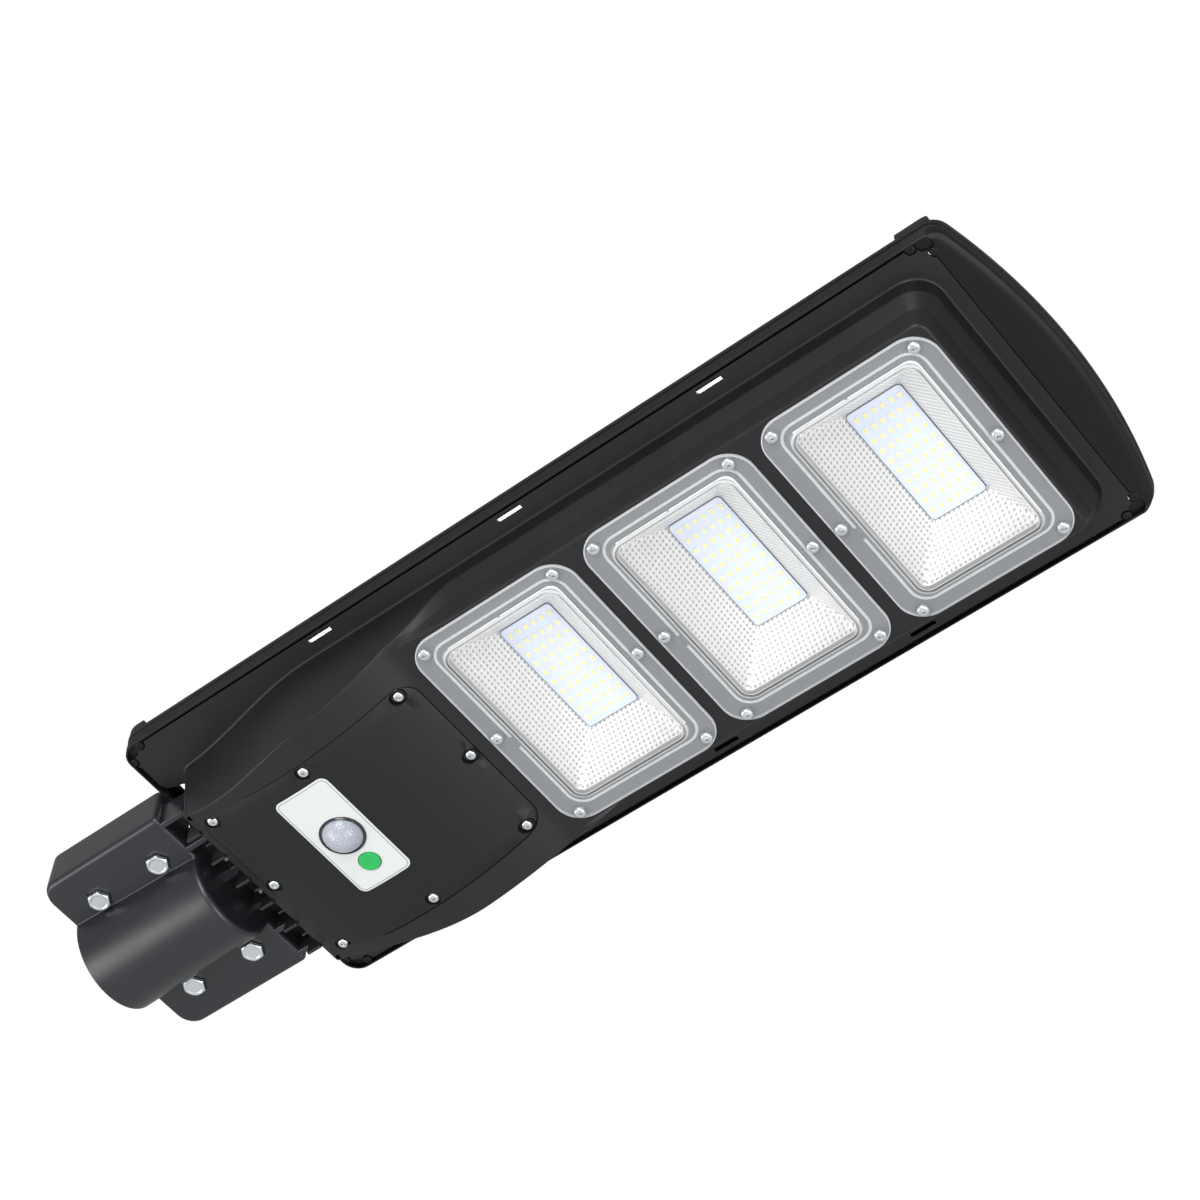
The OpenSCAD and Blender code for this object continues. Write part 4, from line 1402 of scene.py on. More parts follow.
@dataclass
class BatteryLid:
    """The curved lid with its label, motion sensor, button and screws."""

    housing: LampHousing
    label: tuple[float, float, float, float, float] = (200.4, -9.7, 19.5, 41.2, 5.0)
    sensor: Point2 = (200.4, -10.4)
    button: Point2 = (200.8, 13.9)
    ring_r: float = 14.0
    lens_r: float = 12.5
    lens_h: float = 8.0
    button_r: float = 6.65

    def circle(self, centre: Point2, r: float, steps: int = 40) -> Loop:
        """A round hole's stations."""
        return arc_stations(centre[0], centre[1], r, 0, 360 - 360 / steps, steps - 1)

    def build(self) -> None:
        """Makes the lid and what sits in it."""
        self.lid()
        self.label_film()
        self.sensor_ring()
        self.dome()
        self.push_button()

    def lid(self) -> None:
        """Makes the curved lid with its counterbores."""
        x0, x1, half, r = self.housing.lid
        under = self.housing.under
        shell = Shell()
        loop = rect_loop((x0 + x1) / 2, 0, (x1 - x0) / 2, half, r, corner=10, side=32)
        rows = shell.loft(
            [
                [s.at(d, under(s.x + s.nx * d) + z) for s in loop]
                for d, z in ((0.0, 3.2), (0.0, 0.55), (0.16, 0.18), (0.55, 0.0))
            ]
        )
        holes = []
        for x, y in SCREW_SPOTS_LID:
            spots = self.circle((x, y), 4.9, 28)
            edge = shell.ring(s.at(-0.35, under(s.x)) for s in spots)
            lip = shell.ring(s.at(0.0, under(x) + 0.45) for s in spots)
            deep = shell.ring(s.at(0.1, under(x) + 1.8) for s in spots)
            floor = shell.ring(s.at(2.6, under(x) + 1.8) for s in spots)
            for a, b in ((edge, lip), (lip, deep), (deep, floor)):
                shell.bridge(a, b)
            shell.face(floor)
            holes.append(edge)
        for centre, size in ((self.sensor, self.ring_r + 0.15), (self.button, self.button_r + 0.3)):
            spots = self.circle(centre, size)
            edge = shell.ring(s.at(0, under(s.x)) for s in spots)
            deep = shell.ring(s.at(0, under(s.x) + 3.2) for s in spots)
            shell.bridge(edge, deep)
            holes.append(edge)
        shell.sheet(rows[-1], holes, lambda x, y: under(x), step=5.0)
        shell.object("battery_lid", [LID], "cover_plastic", replaces=["battery_cover"], sharp=40)

    def label_film(self) -> None:
        """Makes the blank label with its printed border."""
        cx, cy, hx, hy, r = self.label
        under = self.housing.under
        shell = Shell()
        loop = rect_loop(cx, cy, hx, hy, r, corner=8, side=14)
        lift = 0.3
        shell.loft(
            [
                [s.at(d, under(s.x + s.nx * d) - z) for s in loop]
                for d, z in ((0.0, 0.0), (0.0, lift - 0.06), (0.08, lift), (1.1, lift))
            ]
        )
        line = shell.loft(
            [[s.at(d, under(s.x + s.nx * d) - lift) for s in loop] for d in (1.1, 1.75)], slot=1
        )
        holes = []
        for centre, size in ((self.sensor, self.ring_r + 0.2), (self.button, self.button_r + 0.5)):
            spots = self.circle(centre, size)
            holes.append(shell.ring(s.at(0, under(s.x) - lift) for s in spots))
            back = shell.ring(s.at(0, under(s.x)) for s in spots)
            shell.bridge(holes[-1], back)
        shell.sheet(line[-1], holes, lambda x, y: under(x) - lift, step=6.0)
        shell.object(
            "label_film", [LABEL, LABEL_LINE], "label_film", replaces=["panel_label"], sharp=40
        )

    def sensor_ring(self) -> None:
        """Makes the dark ring round the lens."""
        shell = Shell()
        z = self.housing.hump_z
        r, q = self.ring_r, self.lens_r
        shell.lathe(
            (self.sensor[0], self.sensor[1], z),
            [(q + 0.1, 4.4), (q + 0.1, -0.7), (q + 0.35, -1.15), (q + 0.8, -1.3),
             (r - 0.5, -1.1), (r, -0.55), (r, 4.3), (r + 2.0, 4.3), (r + 2.0, 5.4),
             (q + 0.1, 5.4)],
            64,
        )
        shell.object("sensor_ring", [RING], "ring_plastic", replaces=["pir_ring"])

    def dome(self) -> None:
        """Makes the lens dome out of many small lens cells."""
        ball_r = (self.lens_r**2 + self.lens_h**2) / (2 * self.lens_h)
        bm = bmesh.new()
        bmesh.ops.create_icosphere(bm, subdivisions=4, radius=ball_r)
        dual = bmesh.new()
        spots = {}
        for f in bm.faces:
            c = f.calc_center_median()
            spots[f.index] = dual.verts.new(c.normalized() * ball_r)
        for v in bm.verts:
            ring = []
            start = v.link_loops[0]
            loop = start
            while True:
                ring.append(spots[loop.face.index])
                loop = loop.link_loop_prev.link_loop_radial_next
                if loop == start or len(ring) > 8:
                    break
            if len(ring) >= 5:
                dual.faces.new(ring)
        bm.free()
        bmesh.ops.recalc_face_normals(dual, faces=dual.faces[:])
        cells = dual.faces[:]
        bmesh.ops.inset_individual(dual, faces=cells, thickness=0.18, depth=0.12)
        centre_z = self.housing.hump_z + ball_r - self.lens_h
        bmesh.ops.bisect_plane(
            dual,
            geom=dual.verts[:] + dual.edges[:] + dual.faces[:],
            plane_co=(0, 0, self.lens_h - ball_r + 0.3),
            plane_no=(0, 0, 1),
            clear_outer=True,
        )
        bmesh.ops.translate(
            dual, vec=(self.sensor[0], self.sensor[1], centre_z), verts=dual.verts[:]
        )
        shell = Shell()
        shell.bm.free()
        shell.bm = dual
        shell.lathe(
            (self.sensor[0], self.sensor[1], self.housing.hump_z),
            [(self.lens_r, -0.2), (self.lens_r, 4.0), (self.lens_r - 1.2, 4.0)],
            64,
        )
        shell.object("sensor_dome", [LENS], "lens_poly", replaces=["pir_lens"], sharp=12)

    def push_button(self) -> None:
        """Makes the green cap with its rounded edge and shallow dish."""
        shell = Shell()
        r = self.button_r
        shell.lathe(
            (self.button[0], self.button[1], 0.0),
            [(0.0, -36.35), (r * 0.45, -36.4), (r * 0.75, -36.55), (r - 0.9, -36.6),
             (r - 0.3, -36.45), (r, -36.0), (r, -31.8), (r + 1.1, -31.8), (r + 1.1, -30.8),
             (1.9, -30.8), (1.9, -27.8), (0.0, -27.8)],
            48,
        )
        shell.object(
            "button_cap", [GREEN], "button_plastic", Body.BUTTON, ["power_button"], sharp=40
        )


SCREW_SPOTS_LID: tuple[Point2, ...] = (
    (139.3, 59.3),
    (139.3, -59.3),
    (212.1, 59.3),
    (212.1, -59.3),
    (282.8, 59.3),
    (282.8, -59.3),
    (135.4, 0.0),
    (288.1, 0.0),
)


# ---------------------------------------------------------------- lamp modules


@dataclass
class LampModule:
    """One lamp module: clear cover, seal cord, reflector, board and chips."""

    number: int
    x: float
    deck_z: float = -10.8
    cover: tuple[float, float, float] = (57.25, 79.5, 17.3)
    window: tuple[float, float, float] = (42.0, 65.5, 9.0)
    mouth: Point2 = (18.7, 43.2)
    board_z: float = 17.1
    chip_pitch: Point2 = (5.75, 8.15)
    chip_count: tuple[int, int] = (6, 10)
    chip: tuple[float, float, float] = (2.8, 3.5, 0.8)
    gap: Point2 = (7.0, 13.8)

    def build(self) -> None:
        """Makes the module's pieces."""
        self.clear_cover()
        self.cord()
        self.reflector()
        self.board()

    def clear_cover(self) -> None:
        """Makes the clear cover with its raised window."""
        hx, hy, r = self.cover
        wx, wy, wr = self.window
        out = rect_loop(self.x, 0, hx, hy, r, corner=12, side=6)
        win = rect_loop(self.x, 0, wx, wy, wr, corner=12, side=6)
        z = self.deck_z - 2.2
        shell = Shell()
        low = self.deck_z - 0.02
        # bands from the outer edge inwards: (outline, inset, height, finish of the band)
        bands = [
            (out, 0.5, low, 2),
            (out, 0.0, low - 0.3, 2),
            (out, 0.0, z + 0.5, 2),
            (out, 0.25, z + 0.12, 2),
            (out, 0.7, z, 0),
            (win, -1.0, z, 2),
            (win, -0.45, z - 0.15, 2),
            (win, 0.0, z - 0.65, 2),
            (win, 0.35, z - 0.8, 1),
            (win, 1.9, z - 0.8, 2),
            (win, 2.1, z - 0.62, 2),
            (win, 2.4, z - 0.62, 1),
        ]
        rows = [shell.ring(s.at(d, h) for s in line) for line, d, h, _ in bands]
        for (a, b), band in zip(zip(rows, rows[1:]), bands):
            shell.bridge(a, b, slot=band[3])
        shell.face(rows[-1], 1)
        back = shell.loft([[s.at(0.5, low) for s in out], [s.at(-0.6, low) for s in win]])
        inner = shell.ring(s.at(0.4, low - 0.5) for s in win)
        shell.bridge(back[-1], inner, slot=1)
        shell.face(inner, 1)
        shell.object(
            f"cover_{self.number}",
            [FLANGE, WINDOW, EDGE],
            "clear_cover",
            replaces=[f"led_cover_{self.number}"],
            sharp=40,
        )

    def cord(self) -> None:
        """Makes the seal cord in its groove, open for a few millimetres at one side."""
        loop = rect_loop(self.x, 0, 46.7, 70.3, 11.0, corner=10, side=64)
        keep = [s for s in loop if not (s.x < self.x - 40 and self.gap[0] < s.y < self.gap[1])]
        split = next(
            i
            for i in range(len(keep))
            if abs(keep[i].y - keep[i - 1].y) > (self.gap[1] - self.gap[0]) * 0.9
            and keep[i].x < self.x - 40
            and keep[i - 1].y > self.gap[1] > keep[i].y
        )
        keep = keep[split:] + keep[:split]
        shell = Shell()
        steps = 8
        rings = []
        for k in range(steps):
            a = 2 * math.pi * k / steps
            rings.append(
                [s.at(1.15 * math.cos(a), self.deck_z + 1.05 + 1.02 * math.sin(a)) for s in keep]
            )
        rows = shell.loft([*rings, rings[0]], closed=False)
        shell.face([r[0] for r in rows[:-1]])
        shell.face([r[-1] for r in rows[:-1]])
        shell.object(
            f"seal_cord_{self.number}",
            [SILICONE],
            "white_silicone",
            replaces=[f"cover_seal_{self.number}"],
        )

    def reflector(self) -> None:
        """Makes the dimpled reflector."""
        wx, wy, wr = self.window
        top = rect_loop(self.x, 0, wx - 0.3, wy - 0.3, wr - 1, corner=6, side=10)
        low = rect_loop(self.x, 0, self.mouth[0], self.mouth[1], 1.5, corner=6, side=10)
        z0, z1 = self.deck_z + 0.15, self.board_z - 0.15
        rings = [
            [s.at(-0.3, z0) for s in top],
            [s.at(1.9, z0) for s in top],
            [s.at(2.3, z0 + 0.25) for s in top],
            [s.at(2.4, z0 + 0.8) for s in top],
        ]
        rings += [
            [
                (
                    mix(a.x + a.nx * 2.4, b.x, t),
                    mix(a.y + a.ny * 2.4, b.y, t),
                    mix(z0 + 0.8, z1, t),
                )
                for a, b in zip(top, low)
            ]
            for t in (k / 6 for k in range(1, 7))
        ]
        shell = Shell()
        shell.loft(rings)
        uv = shell.bm.loops.layers.uv.new("mm")
        shell.bm.normal_update()
        for f in shell.bm.faces:
            along = 1 if abs(f.normal.x) > abs(f.normal.y) else 0
            flat = f.calc_center_median().z < z0 + 0.8
            for corner in f.loops:
                co = corner.vert.co
                place = (co[along] - (self.x if along == 0 else 0), co.z * 1.3)
                corner[uv].uv = (DimpledReflector.pitch_mm / 2,) * 2 if flat else place
        shell.object(
            f"reflector_shell_{self.number}",
            [REFLECTOR],
            "reflector_film",
            replaces=[f"reflector_{self.number}"],
            sharp=30,
        )

    def board(self) -> None:
        """Makes the board and its chips."""
        plate = Shell()
        loop = rect_loop(self.x, 0, 24.0, 50.0, 2.0, corner=4, side=2)
        z = self.board_z
        rows = plate.loft(
            [[s.at(d, h) for s in loop] for d, h in ((0, z + 1.58), (0, z + 0.1), (0.1, z))]
        )
        plate.face(rows[0])
        plate.face(rows[-1])
        hx, hy = (v - 0.05 for v in self.mouth[:2])
        rim = rect_loop(self.x, 0, hx, hy, 3.0, corner=6, side=4)
        # a dark joint line, then the raised white edge of the board
        plate.loft(
            [[s.at(d, z - h) for s in rim] for d, h in ((-0.1, 0), (0, 0.4), (0.4, 0.4))], slot=1
        )
        plate.loft(
            [
                [s.at(d, z - h) for s in rim]
                for d, h in ((0.4, 0.4), (0.4, 0.8), (0.6, 0.95), (1.1, 0.95), (1.3, 0.7), (1.3, 0))
            ]
        )
        plate.object(
            f"lamp_board_{self.number}",
            [BOARD, NYLON],
            "white_board",
            replaces=[f"led_board_{self.number}"],
            sharp=40,
        )
        chips = Shell()
        w, l, h = self.chip
        for i in range(self.chip_count[0]):
            for j in range(self.chip_count[1]):
                cx = self.x + (i - (self.chip_count[0] - 1) / 2) * self.chip_pitch[0]
                cy = (j - (self.chip_count[1] - 1) / 2) * self.chip_pitch[1]
                out = rect_loop(cx, cy, w / 2, l / 2, 0.25, corner=2, side=1)
                rings = chips.loft(
                    [
                        [s.at(d, zz) for s in out]
                        for d, zz in ((0, z), (0, z - h + 0.08), (0.08, z - h), (0.22, z - h),
                                      (0.28, z - h + 0.08))
                    ]
                )
                chips.face(rings[-1], 1)
        chips.object(
            f"chips_{self.number}",
            [CHIP_FRAME, PHOSPHOR],
            "led_phosphor",
            replaces=[f"led_chips_{self.number}"],
            sharp=40,
        )


# ---------------------------------------------------------------- fasteners


@dataclass
class PanScrew:
    """A pan-head screw with a cross recess, its head down."""

    head_r: float
    head_h: float
    shank_r: float
    shank_l: float

    def mesh(self) -> bpy.types.Mesh:
        """Makes one screw, seated at the origin."""
        r, h = self.head_r, self.head_h
        body = Shell()
        body.lathe(
            (0, 0, 0),
            [(0, -h), (r * 0.5, -h * 0.985), (r * 0.76, -h * 0.93), (r * 0.9, -h * 0.78),
             (r * 0.98, -h * 0.5), (r, -h * 0.15), (r, 0), (self.shank_r, 0),
             (self.shank_r, self.shank_l), (0, self.shank_l)],
            36,
        )
        cross = Shell()
        w, a = r * 0.12, r * 0.45
        rings = []
        for reach, z in ((a, -h - 0.5), (a, -h), (a * 0.5, -h * 0.3)):
            quarter = [(reach, w), (w, w), (w, reach)]
            ring = []
            for _ in range(4):
                ring += [(x, y, z) for x, y in quarter]
                quarter = [(-y, x) for x, y in quarter]
            rings.append(ring)
        rows = cross.loft(rings)
        cross.face(rows[0])
        cross.face(rows[-1])
        meshes = []
        for shell in (body, cross):
            bmesh.ops.remove_doubles(shell.bm, verts=shell.bm.verts[:], dist=0.001)
            bmesh.ops.recalc_face_normals(shell.bm, faces=shell.bm.faces[:])
            me = bpy.data.meshes.new("screw")
            shell.bm.to_mesh(me)
            shell.bm.free()
            meshes.append(me)
        return cut_with(meshes[0], meshes[1], "DIFFERENCE")

    def place(
        self,
        name: str,
        spots: Sequence[Point3],
        slot: str,
        replaces: Sequence[str],
        turn: Optional[Matrix] = None,
    ) -> None:
        """Puts a screw at each spot, each turned its own way.

        Args:
            name: The piece's name.
            spots: Where the heads sit.
            slot: Not used.
            replaces: The CAD nodes they stand for.
            turn: Turns the screws away from pointing up.
        """
        one = self.mesh()
        rng = random.Random(len(spots) * 7 + 3)
        shell = Shell()
        for spot in spots:
            part = bmesh.new()
            part.from_mesh(one)
            spin = Matrix.Rotation(rng.uniform(0, math.pi), 4, "Z")
            where = Matrix.Translation(spot) @ (turn or Matrix.Identity(4)) @ spin
            bmesh.ops.transform(part, matrix=where, verts=part.verts[:])
            me = bpy.data.meshes.new("one")
            part.to_mesh(me)
            part.free()
            shell.bm.from_mesh(me)
        shell.object(name, [ZINC], slot, replaces=replaces, sharp=32)


@dataclass
class HexFasteners:
    """The clamp's M8 bolts, nuts and washers."""

    xs: tuple[float, float] = (26.5, 75.5)
    y: float = 43.3
    flats: float = 13.0
    head_z: float = -7.2
    seat_z: float = -1.92
    end_z: float = 30.0
    nut_z: float = 11.12
    pitch: float = 1.25

    def spots(self) -> list[Point2]:
        """The four bolt axes."""
        return [(x, s * self.y) for x in self.xs for s in (-1, 1)]

    def hexagon(
        self, shell: Shell, at: Point2, z0: float, z1: float, bore: float, flip: bool
    ) -> None:
        """Adds a hexagon with chamfered corners.

        Args:
            shell: The mesh in the making.
            at: The axis.
            z0: Lower face.
            z1: Upper face.
            bore: Radius of the bore, or 0.
            flip: Whether both ends are chamfered.
        """
        corner = self.flats / math.sqrt(3)
        flat = self.flats / 2
        top_r = flat * 0.97
        rise = (corner - top_r) * 0.58
        turns = [2 * math.pi * k / 48 for k in range(48)]

        def edge(a: float) -> float:
            """Distance from the axis to the hexagon's side at an angle."""
            k = (math.degrees(a) % 60) - 30
            return flat / math.cos(math.radians(k))

        def chamfered(t: float) -> Callable[[float], float]:
            """The outline at a share t of the chamfer."""
            return lambda a: min(edge(a), top_r + t * (corner - top_r))

        def row(z: float, radius: Callable[[float], float]) -> list[bmesh.types.BMVert]:
            """Adds a closed row of points round the axis."""
            return shell.ring(
                (at[0] + radius(a) * math.cos(a), at[1] + radius(a) * math.sin(a), z)
                for a in turns
            )

        shares = (0.0, 0.35, 0.7, 1.0)
        levels = [(z0 + t * rise, chamfered(t)) for t in shares]
        if flip:
            levels += [(z1 - t * rise, chamfered(t)) for t in reversed(shares)]
        else:
            levels.append((z1, edge))
        rows = [row(z, radius) for z, radius in levels]
        for a, b in zip(rows, rows[1:]):
            shell.bridge(a, b)
        if bore:
            inner = [row(z, lambda a: bore) for z in (z0, z1)]
            shell.bridge(rows[0], inner[0])
            shell.bridge(rows[-1], inner[1])
            shell.bridge(inner[0], inner[1])
        else:
            dish = row(z0 + 0.25, lambda a: flat * 0.72)
            lip = row(z0, lambda a: flat * 0.8)
            shell.bridge(rows[0], lip)
            shell.bridge(lip, dish)
            shell.face(dish)
            shell.face(rows[-1])

    def build(self) -> None:
        """Makes bolts, nuts and washers."""
        bolts = Shell()
        for at in self.spots():
            self.hexagon(bolts, at, self.head_z, self.seat_z, 0, False)
            section = [(0.0, self.seat_z - 0.1), (4.0, self.seat_z - 0.1), (4.0, 6.0)]
            z = 6.0
            while z < self.end_z - 1.5:
                section.append((3.95, z + 0.1))
                section.append((3.4, z + self.pitch / 2))
                section.append((3.95, z + self.pitch - 0.1))
                z += self.pitch
            section += [(3.3, self.end_z - 0.1), (0.0, self.end_z)]
            bolts.lathe((at[0], at[1], 0.0), section, 24)
        bolts.object("hex_bolts", [ZINC], "zinc_steel", replaces=["clamp_bolts"], sharp=25)
        nuts = Shell()
        for at in self.spots():
            self.hexagon(nuts, at, self.nut_z, self.nut_z + 6.5, 4.35, True)
        nuts.object("hex_nuts", [ZINC], "zinc_steel", Body.CLAMP, ["clamp_nuts"], sharp=25)
        washers = Shell()
        for x, y in self.spots():
            washers.lathe(
                (x, y, 9.5),
                [(4.4, 0.0), (7.4, 0.0), (7.6, 0.2), (7.6, 1.4), (7.4, 1.6), (4.4, 1.6),
                 (4.4, 0.0)],
                40,
            )
        washers.object(
            "flat_washers", [ZINC], "zinc_steel", Body.CLAMP, ["clamp_washers"], sharp=30
        )


# ---------------------------------------------------------------- bracket


@dataclass
class PoleBracket:
    """The cast bracket: flanges, side walls and the half-round pole channel."""

    length: float = 97.0
    half: float = 70.0
    face_z: float = -4.0
    floor_z: float = 1.5
    top_z: float = 24.5
    edge_r: float = 3.6
    mouth_r: float = 10.0
    front_r: float = 4.0
    barrel: Point2 = (36.0, 33.5)
    web_r: float = 1.0
    wall: float = 4.0
    bore_r: float = 30.1
    bore_to: float = 85.0
    neck_to: float = 118.0
    pocket_r: float = 8.3
    seat_z: float = -1.92
    nodes: tuple[str, ...] = (
        "bracket_body", "bracket_barrel", "bracket_sides", "bracket_ends"
    )

    def reach(self, x: float, inset: float = 0.0) -> float:
        """Half width at x, with the corners of the mouth rounded."""
        r = self.mouth_r - inset
        t = min(max(self.mouth_r - x, 0.0), r)
        return self.half - self.mouth_r + math.sqrt(max(r * r - t * t, 0.0))

    def outside(self, x: float, inset: float) -> list[Point2]:
        """The outer profile at x.

        Args:
            x: Distance from the socket's mouth.
            inset: How far the front's rounding draws the profile in.

        Returns:
            Points of (y, z) from one top edge to the other.
        """
        r = mix(self.barrel[0], self.barrel[1], x / self.length)
        h, f, e, w = self.reach(x), self.face_z, self.edge_r, self.web_r
        out: list[tuple[float, float, float, float]] = []
        for k in range(7):
            out.append((h, mix(self.top_z, f + e, k / 6), -1.0, 0.0))
        for k in range(1, 7):
            a = math.radians(-90 * k / 6)
            c, d = math.cos(a), math.sin(a)
            out.append((h - e + e * c, f + e + e * d, -c, -d))
        wz = f - w
        wy = math.sqrt((r + w) ** 2 - wz**2)
        for k in range(1, 7):
            out.append((mix(h - e, wy, k / 6), f, 0.0, 1.0))
        tilt = math.degrees(math.atan2(wz, wy))
        for k in range(1, 5):
            a = math.radians(mix(90, 180 + tilt, k / 4))
            out.append((wy + w * math.cos(a), wz + w * math.sin(a), math.cos(a), math.sin(a)))
        for k in range(1, 25):
            a = math.radians(mix(tilt, -90, k / 24))
            out.append((r * math.cos(a), r * math.sin(a), -math.cos(a), -math.sin(a)))
        out += [(-y, z, -ny, nz) for y, z, ny, nz in reversed(out[:-1])]
        return [(y + ny * inset, z + (nz * inset if z < self.top_z else 0)) for y, z, ny, nz in out]

    def inside(self, x: float, closed: bool) -> list[Point2]:
        """The inner profile at x, walked back to where the outer one starts.

        Args:
            x: Distance from the socket's mouth.
            closed: Whether the pole channel has ended.

        Returns:
            Points of (y, z).
        """
        h = self.half - self.mouth_r if x < self.wall else self.reach(x, self.wall)
        edge = math.degrees(math.asin(self.floor_z / self.bore_r))
        right = [(h, self.top_z), (h, 10.0), (h, self.floor_z + 1.0), (h - 1.0, self.floor_z)]
        right += [(mix(h - 1.0, self.bore_r * math.cos(math.radians(edge)), k / 3), self.floor_z)
                  for k in range(1, 4)]
        for k in range(1, 17):
            a = math.radians(mix(edge, -90, k / 16))
            z = self.floor_z if closed else self.bore_r * math.sin(a)
            right.append((self.bore_r * math.cos(a), z))
        whole = right + [(-y, z) for y, z in reversed(right[:-1])]
        return whole[::-1]

    def lean(self, x: float, z: float) -> float:
        """Places a point along the bracket, whose front leans a little."""
        return x + 0.06 * (10 - z) * smooth_step((x - 60) / 37)

    def body(self) -> Shell:
        """Makes the casting as one closed mesh, in millimetres."""
        shell = Shell()
        mouth = [self.mouth_r * (1 - math.cos(math.radians(15 * k))) for k in range(7)]
        channel = [*mouth, *[mix(self.mouth_r, self.bore_to, k / 7) for k in range(1, 8)]]
        stations = [(x, False) for x in channel] + [
            (self.bore_to, True),
            (self.length - self.wall, True),
        ]
        outer, inner = [], []
        for x, closed in stations:
            outer.append(shell.ring((self.lean(x, z), y, z) for y, z in self.outside(x, 0)))
            inner.append(shell.ring((self.lean(x, z), y, z) for y, z in self.inside(x, closed)))
        for a, b in zip(outer, outer[1:]):
            shell.bridge(a, b, closed=False)
        for a, b in zip(inner, inner[1:]):
            shell.bridge(a, b, closed=False)
        for a, b, c, d in zip(outer, outer[1:], inner, inner[1:]):
            for u, v in ((0, -1), (-1, 0)):
                shell.face([a[u], b[u], d[v], c[v]])
        shell.sheet([*outer[0], *inner[0]], [], lambda y, z: 0.0, plane=(1, 2))
        shell.sheet(inner[-1], [], lambda y, z: self.lean(self.length - self.wall, z), plane=(1, 2))
        front = [outer[-1]]
        for k in range(1, 6):
            a = math.radians(90 * k / 5)
            x = self.length - self.front_r * (1 - math.sin(a))
            inset = self.front_r * (1 - math.cos(a))
            front.append(shell.ring((self.lean(x, z), y, z) for y, z in self.outside(x, inset)))
        for a, b in zip(front, front[1:]):
            shell.bridge(a, b, closed=False)
        shell.sheet(front[-1], [], lambda y, z: self.lean(self.length, z), plane=(1, 2))
        rim = [r[0] for r in front] + [r[-1] for r in reversed(front)]
        shell.face([*rim, inner[-1][0], inner[-1][-1]])
        bmesh.ops.remove_doubles(shell.bm, verts=shell.bm.verts[:], dist=0.002)
        bmesh.ops.recalc_face_normals(shell.bm, faces=shell.bm.faces[:])
        return shell

    def pockets(self) -> bpy.types.Mesh:
        """Makes the tool that cuts the four hexagon pockets."""
        tool = Shell()
        for x, y in HexFasteners().spots():
            ring = []
            for k in range(6):
                a = math.radians(60 * k)
                ring.append((x + self.pocket_r * math.cos(a), y + self.pocket_r * math.sin(a)))
            rows = tool.loft(
                [[(a, b, z) for a, b in ring] for z in (self.face_z - 8, self.seat_z)]
            )
            tool.face(rows[0])
            tool.face(rows[1])
        bmesh.ops.recalc_face_normals(tool.bm, faces=tool.bm.faces[:])
        mesh = bpy.data.meshes.new("pockets")
        tool.bm.to_mesh(mesh)
        tool.bm.free()
        return mesh

    def build(self) -> None:
        """Makes the bracket and its neck."""
        shell = self.body()
        solid = bpy.data.meshes.new("bracket_body_uncut")
        shell.bm.to_mesh(solid)
        shell.bm.free()
        mesh = cut_with(solid, self.pockets(), "DIFFERENCE")
        mesh.transform(Matrix.Scale(MM, 4))
        made = bpy.data.objects.new("bracket_casting", mesh)
        bpy.context.scene.collection.objects.link(made)
        finish_piece(made, [CAST], "cast_black", Body.LAMP, self.nodes, 0.4, 2, sharp=32)
        neck = Shell()
        neck.block((self.length - 1, -65, 11.0), (self.neck_to, 65, 15.0))
        neck.block((self.neck_to - 4, -65, -4.0), (self.neck_to, 65, 12.0))
        for y in (-65, -42, -14, -11, 17, 39, 61):
            neck.block((self.length - 1, y, -4.0), (self.neck_to - 1, y + 4, 12.0))
        neck.object("bracket_neck", [CAST], "cast_black", soften=0.6)


# ---------------------------------------------------------------- inner parts


@dataclass
class InnerParts:
    """What the housing holds and what lies under the glass."""

    soft: dict[str, tuple[Finish, str, float]] = field(
        default_factory=lambda: {
            "battery_holder": (NYLON, "holder_plastic", 0.6),
            "junction_box": (NYLON, "holder_plastic", 0.8),
            "controller_board": (GREEN_BOARD, "green_board", 0.2),
            "sensor_board": (GREEN_BOARD, "green_board", 0.2),
            "button_switch": (NYLON, "switch_plastic", 0.3),
        }
    )
    plain: dict[str, Finish] = field(
        default_factory=lambda: {
            "panel_glass": GLASS,
            "solar_cells": SILICON,
            "panel_backsheet": BACKSHEET,
            "panel_seal": SEALANT,
            "battery_gasket": RUBBER,
            "battery_cells": SHRINK,
            "pir_sensor": TIN,
            "button_spring": WIRE,
            "battery_leads": RED_SLEEVE,
            "led_leads": WHITE_SLEEVE,
            "panel_leads": BLACK_SLEEVE,
            "sensor_leads": WHITE_SLEEVE,
        }
    )

    def build(self) -> None:
        """Rounds and dresses the inner pieces."""
        for node, (finish, slot, width) in self.soft.items():
            softened(node, finish, slot, width)
        for node, finish in self.plain.items():
            dress(node, finish)


# ---------------------------------------------------------------- studio


